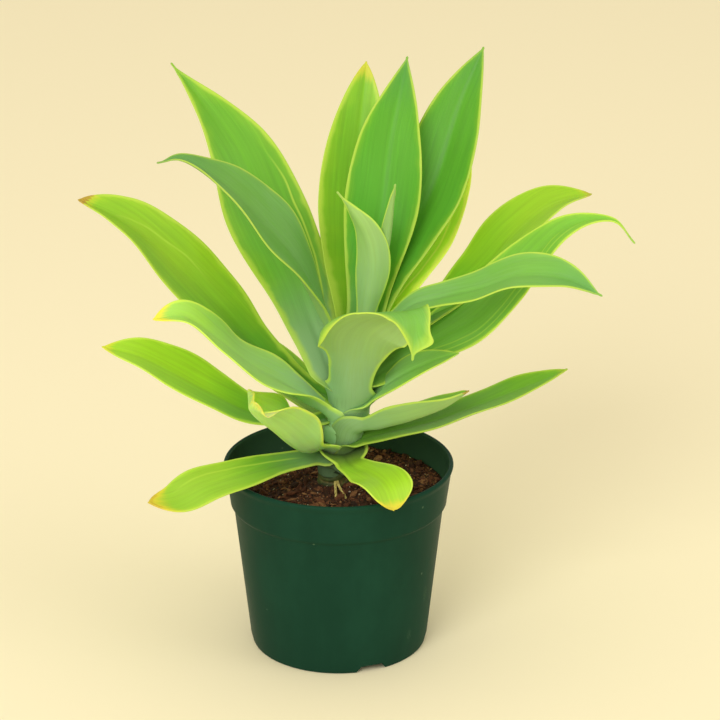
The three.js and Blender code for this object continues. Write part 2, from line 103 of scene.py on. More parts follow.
# Leaves from the middle of the rosette outwards. azimuth is the side that a leaf leans to, line its midrib.
LEAVES = [
    dict(name="bud_spike", azimuth=300, width=11, fold=[40],
         line=[(17, -1, 222), (25, -3, 240), (30, -4, 269), (33, -6, 293), (36, -8, 317)]),
    dict(name="leaf_inner_pale", azimuth=265, width=25, fold=[25], widest=0.4, taper=1.6,
         line=[(15, -3, 208), (16, -7, 222), (20, -9, 247), (22, -10, 269), (18, -11, 287), (9, -13, 302),
               (0, -17, 315)]),
    dict(name="leaf_tall_centre", azimuth=80, width=51, taper=1.05, fold=[14],
         line=[(15, 1, 202), (17, 6, 218), (22, 17, 252), (29, 28, 293), (34, 38, 332), (39, 44, 357),
               (44, 48, 384)]),
    dict(name="leaf_tall_right", azimuth=72, width=48, base=0.34, widest=0.56, taper=1, fold=[14, 17, 13],
         line=[(15, 2, 198), (20, 5, 213), (32, 15, 244), (47, 28, 271), (61, 40, 299), (78, 56, 350),
               (93, 64, 386)]),
    dict(name="leaf_tall_left", azimuth=150, width=57, taper=1.3, clasp=0.6,
         roll=[-32, -35, -21], fold=[5, 6, 22],
         line=[(6, 0, 172), (-6, 0, 187), (-12, 4, 204), (-19, 12, 221), (-30, 26, 248), (-46, 36, 280),
               (-67, 50, 325), (-107, 66, 375)]),
    dict(name="leaf_arched_left", azimuth=188, width=54, base=0.3, widest=0.52, taper=1.3,
         roll=[4, -24, -6], fold=[16, 14, 16],
         line=[(12, -2, 192), (-1, -7, 208), (-14, -12, 242), (-28, -18, 271), (-46, -24, 296),
               (-69, -30, 323), (-94, -34, 341), (-110, -36, 340)]),
    dict(name="leaf_back_lime", azimuth=100, width=47, taper=0.8, fold=[13, 11, 11],
         swell=[(1, 0.2, 0.2, 3)],
         line=[(13, 3, 197), (11, 11, 211), (10, 35, 252), (9, 55, 287), (11, 70, 316), (18, 95, 368)]),
    dict(name="leaf_behind_tall_right", azimuth=75, width=41, base=0.41, widest=0.52, taper=0.7,
         roll=[-7, -3, 1], fold=[16, 14, 10],
         line=[(14, 2, 192), (23, 10, 210), (40, 26, 236), (57, 46, 262), (70, 66, 291), (81, 87, 328)]),
    dict(name="leaf_lime_right", azimuth=30, width=47, base=0.31, widest=0.66, taper=0.8, roll=[2, 6, 5],
         fold=[10, 14, 17],
         line=[(13, 1, 190), (31, 5, 203), (61, 20, 219), (93, 38, 243), (113, 50, 263), (138, 60, 281),
               (165, 66, 287)]),
    dict(name="leaf_arched_right", azimuth=-18, width=36, base=0.46, widest=0.65, taper=1.2,
         roll=[25, 19, 32], fold=[21, 14, 20],
         line=[(12, -2, 191), (23, -7, 209), (45, -17, 237), (65, -25, 247), (89, -33, 256), (114, -41, 268),
               (141, -48, 269), (163, -54, 260)]),
    dict(name="leaf_back_upper_right", azimuth=66, width=46,
         line=[(11, 1, 176), (18, 12, 188), (27, 30, 218), (37, 54, 256), (49, 82, 288), (60, 108, 308)]),
    dict(name="leaf_back_upper_left", azimuth=94, width=46,
         line=[(10, 2, 168), (10, 13, 182), (10, 34, 214), (10, 60, 252), (9, 90, 284), (8, 122, 308)]),
    dict(name="leaf_behind_left", azimuth=150, width=40, clasp=0.5, roll=[-25], fold=[12],
         line=[(10, 1, 180), (0, 7, 192), (-15, 20, 208), (-26, 30, 227), (-35, 38, 244), (-43, 45, 266)]),
    dict(name="leaf_long_right", azimuth=5, width=48, base=0.46, widest=0.36, taper=1.8,
         roll=[27, 28, 23], fold=[12, 10, 17],
         line=[(9, -1, 170), (24, -2, 184), (61, 4, 206), (89, 6, 224), (111, 6, 248), (142, 2, 283),
               (172, -2, 292), (187, -6, 278)]),
    dict(name="leaf_scoop_front", azimuth=305, width=61, base=0.46, widest=0.62, taper=1.7,
         roll=[-47, -28, 13], fold=[18, -16, 16], lips=[(-1, 0.47, 0.12, 110)],
         swell=[(-1, 0, 0.09, 3), (-1, 0.25, 0.1, -4), (-1, 0.47, 0.1, 4), (1, 0.82, 0.05, -5),
                (1, 0.925, 0.035, 7)],
         line=[(8, -3, 164), (7, -17, 178), (9, -34, 213), (16, -52, 238), (33, -66, 252), (46, -78, 254),
               (46, -86, 230)]),
    dict(name="leaf_under_right", azimuth=-20, width=28, roll=[25], fold=[12],
         line=[(7, 0, 160), (19, -8, 170), (30, -14, 182), (43, -20, 194), (58, -26, 204), (76, -31, 213)]),
    dict(name="leaf_long_left", azimuth=172, width=51, base=0.3, widest=0.6, taper=0.7,
         roll=[-27, -28, -17], fold=[13, 11, 23],
         line=[(7, 0, 160), (-4, 2, 168), (-26, 6, 179), (-56, 12, 203), (-81, 15, 231), (-120, 18, 271),
               (-143, 19, 288), (-165, 20, 298)]),
    dict(name="leaf_back_right", azimuth=48, width=48,
         line=[(6, 1, 156), (14, 8, 163), (36, 33, 179), (62, 62, 199), (86, 89, 210), (103, 109, 210)]),
    dict(name="leaf_folded_left", azimuth=196, width=50, base=0.33, widest=0.36, taper=0.7, clasp=0.8,
         roll=[-8, -11, -25], fold=[29, 5, 24], far=[18, 0, 0, 0],
         line=[(6, -1, 151), (-6, -8, 162), (-32, -20, 185), (-57, -30, 205), (-75, -38, 224),
               (-95, -44, 242), (-114, -50, 243)]),
    dict(name="leaf_back_left", azimuth=136, width=44,
         line=[(4, 1, 144), (-4, 8, 148), (-27, 31, 161), (-53, 56, 175), (-74, 76, 182), (-88, 90, 180)]),
    dict(name="leaf_back_low", azimuth=92, width=48,
         line=[(3, 1, 140), (3, 12, 147), (3, 47, 168), (2, 89, 187), (0, 129, 195), (-1, 158, 187)]),
    dict(name="leaf_low_left", azimuth=186, width=42, base=0.3, widest=0.63, taper=0.85, clasp=0.45,
         roll=[-19, -23, -24], fold=[14, 15, 13],
         line=[(4, 0, 155), (-7, -3, 156), (-26, -6, 156), (-56, -10, 163), (-81, -12, 177), (-106, -14, 193),
               (-128, -14, 205), (-150, -12, 210)]),
    dict(name="leaf_rolled_right", azimuth=340, width=30, base=0.59, widest=0.42, taper=0.8,
         roll=[5, 5, 3], fold=[29, 14, 22], near=[42, 52, 10],
         line=[(3, -2, 146), (13, -13, 154), (25, -20, 159), (48, -32, 170), (68, -42, 182), (82, -50, 195)]),
    dict(name="leaf_cupped_left", azimuth=215, width=53, base=0.37, taper=0.6, clasp=0.8,
         roll=[-19, -1, 6], fold=[25, 49, 30], curl=[0], near=[0, 0, 10], far=[15, 15, 14, -12], tip=0.4,
         swell=[(-1, 0.42, 0.2, 5), (1, 0.93, 0.08, -2)],
         line=[(0, -1, 132), (-11, -11, 141), (-24, -28, 147), (-40, -46, 167), (-53, -58, 184),
               (-52, -62, 193)]),
    dict(name="leaf_low_right", azimuth=352, width=34, base=0.51, widest=0.57, roll=[14, 4, 19],
         fold=[12, 10, 11],
         line=[(1, -1, 134), (12, -8, 142), (30, -14, 150), (60, -20, 160), (89, -24, 173), (117, -27, 187),
               (145, -28, 201)]),
    dict(name="leaf_rim_front", azimuth=305, width=39, base=0.53, widest=0.75, tip=0.45, taper=1.3,
         roll=[2, 4, -14], fold=[13, 9, 5],
         line=[(0, -3, 131), (4, -17, 135), (9, -28, 133), (22, -50, 136), (30, -68, 136), (35, -78, 126)]),
    dict(name="leaf_rim_left", azimuth=216, width=30, base=0.47, widest=0.7, taper=0.7,
         roll=[-29, -22, -28], fold=[6, 9, 6],
         line=[(0, -2, 128), (-10, -10, 133), (-36, -26, 135), (-60, -44, 135), (-84, -60, 134),
               (-102, -72, 130), (-118, -80, 132)]),
]

# How a leaf is coloured where its own entry says nothing. Most values run from 0 to 1.
#   lime          how lime the upper face is
#   bloom, wax    how much pale wax lies on both faces, and how much more at the base
#   under         how pale the lower face is
#   yellow, brown how far the tip has yellowed, and how far its end has dried
#   cool          how far a young tip has darkened to blue-green
#   tip           share of the blade that the tip's colours reach
#   tone          brightens or darkens the whole leaf: its own lightness, and in part painted light and shade
#   deep, shade   painted shade on the base (paler below 0), and the share of the blade that it reaches
#   young         how green the base still is where the rest is lime
#   band, rim     width of the pale margin in mm, and how lime the upper face gets near it
#   foot          how dark the sheath is, as painted shade among the leaf bases
#   pale          painted light: how far the upper face is lightened towards the tip, as if lit through it
#   glow          how much light passes through the blade
#   prints        faint lines that a neighbour's margin pressed into the upper face in the bud, each as a
#                 side, mm from that side's margin, where it starts and ends along the blade, and a strength
# the pale print lines are painted highlights along the low ridges that the bud left
PLAIN_LOOK = dict(lime=0.35, bloom=0.1, wax=0.0, under=0.75, yellow=0.0, brown=0.0, cool=0.0, tip=0.06,
                  tone=1.0, deep=0.12, shade=0.28, young=0.0, band=0.8, rim=0.3, foot=0.25, pale=0.0,
                  glow=0.15, prints=[])
LOOKS = {
    "bud_spike": dict(lime=0.0, bloom=0.8, under=0.95, band=0.4),
    "leaf_inner_pale": dict(lime=0.2, bloom=0.75, under=1.0, tone=1.15, band=0.9),
    "leaf_tall_centre": dict(lime=-0.04, bloom=0.02, cool=0.5, tip=0.12, tone=0.95, band=1.0),
    "leaf_tall_right": dict(lime=-0.04, bloom=0.02, cool=0.3, tip=0.1, tone=0.88, band=1.0),
    "leaf_tall_left": dict(lime=0.15, wax=0.9, cool=0.2, tone=0.96, band=2.0,
                           prints=[(-1, 7, 0.05, 0.5, 0.8)]),
    "leaf_arched_left": dict(lime=0.1, bloom=0.8, under=0.95, cool=0.4, tip=0.15, tone=0.86, deep=-0.8),
    "leaf_back_lime": dict(lime=0.4, bloom=0.0, yellow=0.6, tip=0.04, band=2.2),
    # Painted light: tone brightens this leaf behind the others as if it stood in full light
    "leaf_behind_tall_right": dict(lime=1.0, bloom=0.0, tone=1.7, deep=0.0, band=2.4, glow=0.5,
                                   prints=[(-1, 8, 0.08, 0.7, 0.6)]),
    "leaf_lime_right": dict(lime=0.85, bloom=0.0, yellow=0.3, brown=0.3, tip=0.03, deep=0.25, shade=0.55,
                            young=1.0, band=0.9),
    "leaf_arched_right": dict(lime=0.25, bloom=0.75, under=0.9, cool=0.5, tip=0.16, tone=1.05, band=0.7),
    "leaf_behind_left": dict(lime=0.6, bloom=0.0, band=2.4),
    "leaf_long_right": dict(lime=0.25, bloom=0.3, under=0.8, cool=0.3, tone=1.15, band=0.9,
                            prints=[(-1, 6, 0.08, 0.7, 0.35), (-1, 11, 0.08, 0.7, 0.3)]),
    "leaf_scoop_front": dict(lime=0.15, bloom=0.75, wax=0.4, under=1.0, tone=1.06, deep=0.4, shade=0.35,
                             band=1.3, rim=1.0, foot=0.7),
    "leaf_under_right": dict(lime=0.3, bloom=0.9, tone=1.15, band=0.7),
    "leaf_long_left": dict(lime=0.78, yellow=0.4, brown=0.7, tip=0.03, tone=1.03, deep=0.25, shade=0.5,
                           young=1.0, band=1.9, prints=[(-1, 16, 0.5, 0.75, 0.4)]),
    "leaf_folded_left": dict(lime=0.75, bloom=1.0, wax=0.4, under=0.95, yellow=0.8, tip=0.04, tone=1.35,
                             band=1.3),
    "leaf_low_left": dict(lime=1.0, yellow=0.5, tip=0.03, tone=1.2, deep=0.45, shade=0.6, young=1.0,
                          band=1.2),
    "leaf_rolled_right": dict(lime=0.4, bloom=0.8, under=1.0, brown=0.7, tip=0.04, tone=0.95, band=0.7),
    # Painted light: pale lightens the inner face near the tip, which lies in shade
    "leaf_cupped_left": dict(lime=1.0, bloom=0.55, under=1.0, yellow=0.4, brown=0.1, tip=0.03, tone=1.22,
                             band=1.2, foot=0.6, pale=1.0, glow=1.0),
    "leaf_low_right": dict(lime=0.3, bloom=0.2, yellow=0.2, tip=0.03, tone=0.84, deep=0.3, shade=0.5,
                           band=0.9, foot=0.6),
    # Painted shade: deep and foot darken the base of this low leaf under the rosette
    "leaf_rim_front": dict(lime=1.0, yellow=0.8, brown=0.15, tone=1.2, deep=0.85, band=0.9, foot=1.0),
    "leaf_rim_left": dict(lime=0.75, bloom=0.15, wax=0.3, yellow=0.9, brown=0.35, tip=0.07, deep=0.5,
                          shade=0.6, young=0.8, foot=0.9, pale=0.2, prints=[(-1, 7, 0.08, 0.7, 0.4)]),
    "leaf_back_right": dict(lime=0.4, bloom=0.2),
    "leaf_back_left": dict(lime=0.6, yellow=0.4),
    "leaf_back_low": dict(lime=0.8, yellow=0.6, brown=0.3),
    "leaf_back_upper_right": dict(bloom=0.15),
    "leaf_back_upper_left": dict(lime=0.4, bloom=0.15),
}

# The mix's surface, as distance from the pot's middle and height, and its height along the pot's wall, in mm
MIX_PROFILE = [(0, 112.5), (12, 112), (22, 110), (33, 109), (44, 108.5), (56, 108), (70, 107)]
MIX_EDGE = 107

# The lamps by name, each with its place and size, and the point that both face, in metres
LAMPS = {"key": ((-1.3, -3.1, 2.3), 2.2), "fill": ((2.2, -1.0, 1.4), 1.6)}
LAMP_TARGET = (0.01, 0, 0.2)


# Settings

def length(name, description, default):
    return FloatProperty(name=name, description=description, default=default, unit="LENGTH")


def angle(name, description, degrees):
    return FloatProperty(name=name, description=description, default=math.radians(degrees), subtype="ANGLE")


def power(name, description, default):
    return FloatProperty(name=name, description=description, default=default, unit="POWER")


def paint(name, description, *screen):
    """A colour whose default is given as 0 to 255 screen values."""
    return FloatVectorProperty(name=name, description=description, default=srgb(*screen), subtype="COLOR")


class AgaveLeafSettings(bpy.types.PropertyGroup):
    midrib: length("Midrib thickness", "Thickness of a blade over its midrib, near the base", 0.0065)
    margin: length("Margin thickness", "Thickness of a blade at its rounded margin", 0.0010)
    ripple: length("Margin ripple", "How far the margins wave up and down", 0.0004)
    sheath: angle("Sheath reach", "How far round the stem each side of a leaf base clasps", 100)
    lime: paint("Lime", "Upper face of a leaf in full light", 154, 200, 32)
    green: paint("Green", "Upper face of an inner leaf", 88, 170, 34)
    underside: paint("Underside", "Lower face under its wax", 158, 192, 98)
    bloom: paint("Wax bloom", "Pale blue-green wax on young leaves", 142, 183, 128)
    margin_colour: paint("Margin", "Thin pale band along a margin", 194, 224, 78)
    yellow: paint("Yellowed tip", "A tip that has begun to dry", 224, 206, 56)
    cool: paint("Young tip", "Blue-green tip of a young leaf", 74, 140, 84)
    brown: paint("Dry tip", "The dried end of a tip", 176, 112, 48)


class AgaveStemSettings(bpy.types.PropertyGroup):
    scar_pitch: length("Scar spacing", "Height between two leaf scars", 0.007)
    scar_depth: length("Scar depth", "Depth of the groove at a leaf scar", 0.0007)
    root_radius: length("Root radius", "Radius of the thin roots", 0.0010)
    colour: paint("Stem", "Bare stem between the scars", 84, 98, 34)
    scar_colour: paint("Scar", "Dry edge of a leaf scar", 116, 98, 52)
    root_colour: paint("Root", "Thin roots", 208, 192, 108)


class AgavePotSettings(bpy.types.PropertyGroup):
    height: length("Height", "From what the pot stands on to the top of its lip", POT_BOX[1].z)
    lip_radius: length("Lip radius", "Outer radius of the rolled lip", POT_BOX[1].x)
    collar_top: length("Collar radius, top", "Radius of the collar under the lip", 0.0738)
    collar_foot: length("Collar radius, foot", "Radius of the collar at its lower edge", 0.0708)
    collar_height: length("Collar height", "From the lower edge of the collar to the lip", 0.027)
    body_top: length("Body radius, top", "Radius of the tapering body under the collar", 0.0686)
    base_radius: length("Base radius", "Radius of the body at its foot", 0.0575)
    wall: length("Wall", "Thickness of the moulded wall", 0.002)
    foot_height: length("Foot height", "How far the foot ring lifts the floor of the pot", 0.005)
    foot_width: length("Foot width", "Width of the foot ring", 0.004)
    centre_foot: length("Centre foot radius", "Radius of the round foot in the middle", 0.009)
    notch_width: length("Notch width", "Width of a drainage notch in the foot ring", 0.020)
    drain_radius: length("Drain radius", "Radius of a drain hole", 0.0045)
    drain_ring: length("Drain ring radius", "Distance of the drain holes from the middle", 0.040)
    colour: paint("Plastic", "Dark green moulded plastic", 24, 59, 44)
    dust_colour: paint("Dust colour", "Minerals dried on the inner wall", 70, 100, 66)
    scuff_colour: paint("Scuffs", "Dust and rubbed marks on the plastic", 92, 118, 92)


class AgaveMixSettings(bpy.types.PropertyGroup):
    chunks: IntProperty(
        name="Bark pieces", description="Pieces of bark that lie on the potting mix", default=1300, min=0)
    crumbs: IntProperty(
        name="Crumbs", description="Small crumbs between the pieces of bark", default=5200, min=0)
    seed: IntProperty(name="Seed", description="Seed of the random draws", default=7)
    dark: paint("Damp bark", "Darkest pieces", 42, 27, 16)
    red: paint("Red bark", "Most of the pieces", 98, 58, 34)
    tan: paint("Dry bark", "Light pieces", 160, 116, 70)
    grain: paint("Pale grains", "Pale grains among the bark", 206, 190, 160)


class AgaveStageSettings(bpy.types.PropertyGroup):
    floor_colour: paint("Floor", "Plain pale floor", 255, 244, 206)
    floor_size: length("Floor size", "Width of the square floor", 12.0)
    sky_colour: paint("Room light", "Soft light from all round", 255, 248, 232)
    sky_strength: FloatProperty(
        name="Room light strength", description="Strength of the light from all round", default=0.78)
    key_power: power("Key light", "Power of the large soft light at the front left", 70)
    fill_power: power("Fill light", "Power of the soft light at the right", 9)
    camera_shift: length("Camera shift", "How far right of the pot's middle the camera stands", 0.014)
    camera_distance: length("Camera distance", "How far in front of the pot the camera stands", 1.678)
    camera_height: length("Camera height", "Height of the camera above the floor", 0.849)
    camera_pitch: angle("Camera pitch", "How far the camera looks down", 21.25)
    camera_lens: FloatProperty(
        name="Lens", description="Focal length of the camera", default=140, unit="CAMERA")


# Shaping helpers

SPLINE_STEPS = 60
TANGENT_REACH = 1 / 400


def along(values, t):
    """The value at t, 0 to 1, of a short list of evenly spread ones, eased from each to the next."""
    if len(values) == 1:
        return np.full(np.shape(t), float(values[0]))
    spread = np.asarray(values, float)
    x = np.clip(t, 0, 1) * (len(values) - 1)
    i = np.minimum(x.astype(int), len(values) - 2)
    f = x - i
    return spread[i] + (spread[i + 1] - spread[i]) * f * f * (3 - 2 * f)


def smooth(low, high, x):
    """0 below low, 1 above high and eased between."""
    f = np.clip((np.asarray(x, float) - low) / (high - low), 0, 1)
    return f * f * (3 - 2 * f)


def unit(vectors):
    return vectors / np.linalg.norm(vectors, axis=-1, keepdims=True)


def spline(points):
    """A smooth curve through points, as dense points and the distance of each from the start."""
    p = np.asarray(points, float)
    p = np.vstack([2 * p[0] - p[1], p, 2 * p[-1] - p[-2]])
    u = np.linspace(0, 1, SPLINE_STEPS, endpoint=False)[:, None]
    pieces = []
    for a, b, c, d in zip(p, p[1:], p[2:], p[3:]):
        start, end = (c - a) / 2, (d - b) / 2
        pieces.append(b + start * u + (3 * (c - b) - 2 * start - end) * u ** 2
                      + (2 * (b - c) + start + end) * u ** 3)
    dense = np.vstack(pieces + [p[-2:-1]])
    distance = np.concatenate([[0], np.cumsum(np.linalg.norm(np.diff(dense, axis=0), axis=1))])
    return dense, distance


def sampled(dense, distance, at):
    """Points and tangents of a dense curve at given distances along it."""
    def place(here):
        return np.stack([np.interp(here, distance, dense[:, k]) for k in range(3)], axis=1)
    reach = distance[-1] * TANGENT_REACH
    return place(at), unit(place(at + reach) - place(at - reach))


def turned_about(vectors, axes, angles):
    """Vectors turned about unit axes that they stand square to."""
    return vectors * np.cos(angles)[:, None] + np.cross(axes, vectors) * np.sin(angles)[:, None]


def square_to(axes, vectors):
    """Unit vectors in the planes that stand square to unit axes."""
    vectors = np.asarray(vectors)
    return unit(vectors - axes * np.sum(vectors * axes, axis=1, keepdims=True))


STEM_LINE = spline(np.array(STEM_AXIS) * MM)[0]
STEM_FOOT, STEM_TOP = STEM_AXIS[0][2] * MM, STEM_AXIS[-1][2] * MM


def stem_centre(z):
    return np.array([np.interp(z, STEM_LINE[:, 2], STEM_LINE[:, k]) for k in range(3)])


def stem_radius(z):
    return along(STEM_RADIUS, np.clip((z - STEM_FOOT) / (STEM_TOP - STEM_FOOT), 0, 1)) * MM


def mesh_object(name, points, faces, smooth_faces=True):
    mesh = bpy.data.meshes.new(name)
    mesh.from_pydata([tuple(p) for p in points], [], [tuple(int(i) for i in f) for f in faces])
    mesh.polygons.foreach_set("use_smooth", [smooth_faces] * len(mesh.polygons))
    mesh.update()
    made = bpy.data.objects.new(name, mesh)
    bpy.context.scene.collection.objects.link(made)
    return made


def set_values(made, name, values):
    """Stores one number for each point of a piece, which its material can read by name."""
    layer = made.data.attributes.new(name, "FLOAT", "POINT")
    layer.data.foreach_set("value", np.asarray(values, float))


def keep(made, material, slot, *nodes):
    """Gives a finished piece its material, and its place in the frame."""
    made.data.materials.clear()
    made.data.materials.append(material)
    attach(made, "root")
    if nodes:
        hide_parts(*nodes)


def slot_of(node):
    return next(row["material_slot"] for row in frame["record"]["subparts"] if row["node"] == node)


def ring_faces(rings, around):
    """Faces of a skin over rings of equally many points, one ring after another."""
    faces = []
    for i in range(rings - 1):
        for j in range(around):
            k = (j + 1) % around
            faces.append((i * around + j, i * around + k, (i + 1) * around + k, (i + 1) * around + j))
    return faces


def closed_faces(rings, around):
    """The same, closed by fans to two more points: one for the first ring, then one for the last."""
    faces = ring_faces(rings, around)
    end, last = rings * around, (rings - 1) * around
    for j in range(around):
        k = (j + 1) % around
        faces += [(end, k, j), (end + 1, last + j, last + k)]
    return faces


# Leaves

HALF_COLUMNS = 12                       # from the midrib to a margin
BLADE_ROWS = 84
SHEATH_ROWS = 16
ROW_CROWDING = 1.25                     # above 1, the rows lie closer together towards the tip
TIP_POINT = 0.8 * MM                    # half the width of the tip's soft point, and its length
THINNEST = 1.0 * MM
THICKEST_SHARE = 0.45                   # greatest thickness, as a share of half the width
THINNING_POWER = 1.6                    # how late a blade thins on the way to its margin
FOLD_HALF_WIDTH = 3 * MM                # a half narrower than this lies flatter than its fold
FOLD_START = 0.22                       # share of a half in which its fold rounds over from the midrib
FOLD_GAIN = 1.06                        # makes up for what that rounding takes off the fold
MIDRIB_FALL = [1, 0.65, 0.46, 0.2]      # thickness at the midrib, base to tip, as a share of the setting
GROOVE_SHARE = 0.12                     # depth of the groove over the midrib, as a share of the thickness
GROOVE_WIDTH = 2.2 * MM
RIPPLE_LENGTH = 46 * MM
RIPPLE_TURN = 2.4                       # how far the ripple is turned from one leaf to the next
RIPPLE_RISE, RIPPLE_FALL = (0.03, 0.2), (0.8, 0.97)     # where along the blade the ripple comes and goes
# Where a midrib starts on the stem: two points, by depth below the blade's foot and distance off the stem
SHEATH_SEAT = [(9 * MM, 0.3 * MM), (0.0, 1.6 * MM)]
SHEATH_THICKNESS = 1.6 * MM
SHEATH_TIGHTNESS = 1.2
SHEATH_FOOT = 0.35                      # share of its reach that a sheath has at its lower end
HOLD_FADE = 0.35                        # share of the sheath after which its hold on the stem fades
HOLD_END = 8 * MM                       # how far up the blade that hold ends
NEAREST_AXIS = 3 * MM                   # a sheath wraps round nothing thinner
BLUNT_TIP_START = 0.86
BLUNT_TIP_POWER = 2.6                   # 2 is round, higher is squarer
LIP = (0.72, 0.95)                      # the shares of a half between which a lip rolls over
EDGE_ANGLES = np.radians([50, 0, -50])
EDGE_FACES = [0.75, 0.5, 0.25]          # from the upper face, 1, to the lower, 0
FACT_UNIT = 10 * MM                     # a margin distance is stored in this unit, which keeps it near 1


def half_width(leaf, t):
    rise = np.clip(t / leaf["widest"], 0, 1)
    fall = np.clip((t - leaf["widest"]) / (1 - leaf["widest"]), 0, 1)
    widening = leaf["base"] + (1 - leaf["base"]) * rise * rise * (3 - 2 * rise)
    narrowing = leaf["tip"] + (1 - leaf["tip"]) * (1 - fall * fall) ** leaf["taper"]
    share = np.where(t < leaf["widest"], widening, narrowing)
    if leaf["tip"]:
        late = np.clip((t - BLUNT_TIP_START) / (1 - BLUNT_TIP_START), 0, 1)
        share = share * (1 - late ** BLUNT_TIP_POWER) ** (1 / BLUNT_TIP_POWER)
    return np.maximum(leaf["width"] / 2 * MM * share, TIP_POINT)


def local_sum(places, sign, t):
    """Sum over t of the places on one half of a blade, each as a side, its t, its reach and its size."""
    total = np.zeros(len(t))
    for side, middle, reach, size in places:
        if side == sign:
            total += size * np.exp(-((t - middle) / reach) ** 2)
    return total


def leaf_line(leaf):
    """The midrib with its foot laid against the stem, and how far along it the free blade begins."""
    points = np.array(leaf["line"]) * MM
    outwards = unit((points[1] - stem_centre(points[1][2]))[:2])
    seat = []
    for drop, lift in SHEATH_SEAT:
        z = points[0][2] - drop
        seat.append([*(stem_centre(z)[:2] + outwards * (stem_radius(z) + lift)), z])
    dense, distance = spline(np.vstack([seat, points[1:]]))
    return dense, distance, distance[len(seat) * SPLINE_STEPS], outwards


def leaf_rows(leaf, settings):
    """What each row across a leaf has: distance at, place, tangents, side and up, how far it clasps, its t,
    its distance off the stem's axis, half its width, and its thickness at the midrib and at the edge."""
    dense, distance, free, outwards = leaf_line(leaf)
    sheath = np.linspace(0, free, SHEATH_ROWS, endpoint=False)
    blade = 1 - (1 - np.linspace(0, 1, BLADE_ROWS)) ** ROW_CROWDING
    at = np.concatenate([sheath, free + blade * (distance[-1] - free)])
    points, tangents = sampled(dense, distance, at)
    t = np.clip((at - free) / (distance[-1] - free), 0, 1)
    clasp = 1 - smooth(HOLD_FADE * free, free + HOLD_END, at)

    turn = math.radians(leaf["azimuth"])
    side = turned_about(square_to(tangents, [-math.sin(turn), math.cos(turn), 0.0]), tangents,
                        np.radians(along(leaf["roll"], t)))
    hugging = square_to(tangents, [-outwards[1], outwards[0], 0.0])
    side = square_to(tangents, side * (1 - clasp[:, None]) + hugging * clasp[:, None])

    off_axis = np.array([np.linalg.norm((p - stem_centre(p[2]))[:2]) for p in points])
    off_axis = np.maximum(off_axis, NEAREST_AXIS)
    opening = SHEATH_FOOT + (1 - SHEATH_FOOT) * np.sqrt(np.clip(at / free, 0, 1))
    half = half_width(leaf, t)
    half = half + clasp * np.maximum(settings.sheath * leaf["clasp"] * opening * off_axis - half, 0)
    midrib = np.clip(THICKEST_SHARE * half, THINNEST, along(MIDRIB_FALL, t) * settings.midrib)
    midrib = midrib + (SHEATH_THICKNESS - midrib) * clasp * (1 - smooth(0, free, at) * 0.5)
    return SimpleNamespace(at=at, points=points, tangents=tangents, side=side, up=np.cross(tangents, side),
                           clasp=clasp, t=t, off_axis=off_axis, half=half, midrib=midrib,
                           edge=np.minimum(midrib, settings.margin))


def half_blade(leaf, rows, sign, settings, seed):
    """One half of a blade, column by column from the midrib: its upper face, lower face and rounded edge."""
    t, clasp, side, up = rows.t, rows.clasp, rows.side, rows.up
    open_up = np.minimum(1, rows.half / FOLD_HALF_WIDTH)
    fold = open_up * np.radians(along(leaf["fold"], t) + along(leaf["near" if sign < 0 else "far"], t))
    curl = open_up * np.radians(along(leaf["curl"], t))
    lips = np.radians(local_sum(leaf["lips"], sign, t))
    stride = (rows.half + local_sum(leaf["swell"], sign, t) * MM - rows.edge / 2) / HALF_COLUMNS
    wave = np.sin(rows.at / RIPPLE_LENGTH * 2 * math.pi + seed * RIPPLE_TURN + sign) * settings.ripple
    wave = wave * smooth(*RIPPLE_RISE, t) * (1 - smooth(*RIPPLE_FALL, t))
    x = lift = slope = np.zeros(len(t))
    upper, lower = [], []
    for step in range(HALF_COLUMNS + 1):
        share = step / HALF_COLUMNS
        if step:
            middle = (step - 0.5) / HALF_COLUMNS
            slope = fold * smooth(0, FOLD_START, middle) * FOLD_GAIN + curl * middle ** 2
            wrap = middle * rows.half / rows.off_axis * SHEATH_TIGHTNESS
            slope = slope * (1 - clasp) + wrap * clasp - lips * smooth(*LIP, middle)
            x = x + stride * np.cos(slope)
            lift = lift + stride * np.sin(slope)
        thick = rows.midrib + (rows.edge - rows.midrib) * share ** THINNING_POWER
        groove = GROOVE_SHARE * rows.midrib * np.exp(-(share * rows.half / GROOVE_WIDTH) ** 2) * (1 - clasp)
        centre = rows.points + side * (sign * x)[:, None] + up * (lift + wave * share ** 2)[:, None]
        normal = up * np.cos(slope)[:, None] - side * (sign * np.sin(slope))[:, None]
        upper.append(centre + normal * (thick / 2 - groove)[:, None])
        lower.append(centre - normal * (thick / 2)[:, None])
    outward = side * (sign * np.cos(slope))[:, None] + up * np.sin(slope)[:, None]
    edge = [centre + (outward * math.cos(a) + normal * math.sin(a)) * (thick / 2)[:, None]
            for a in EDGE_ANGLES]
    return upper, lower, edge


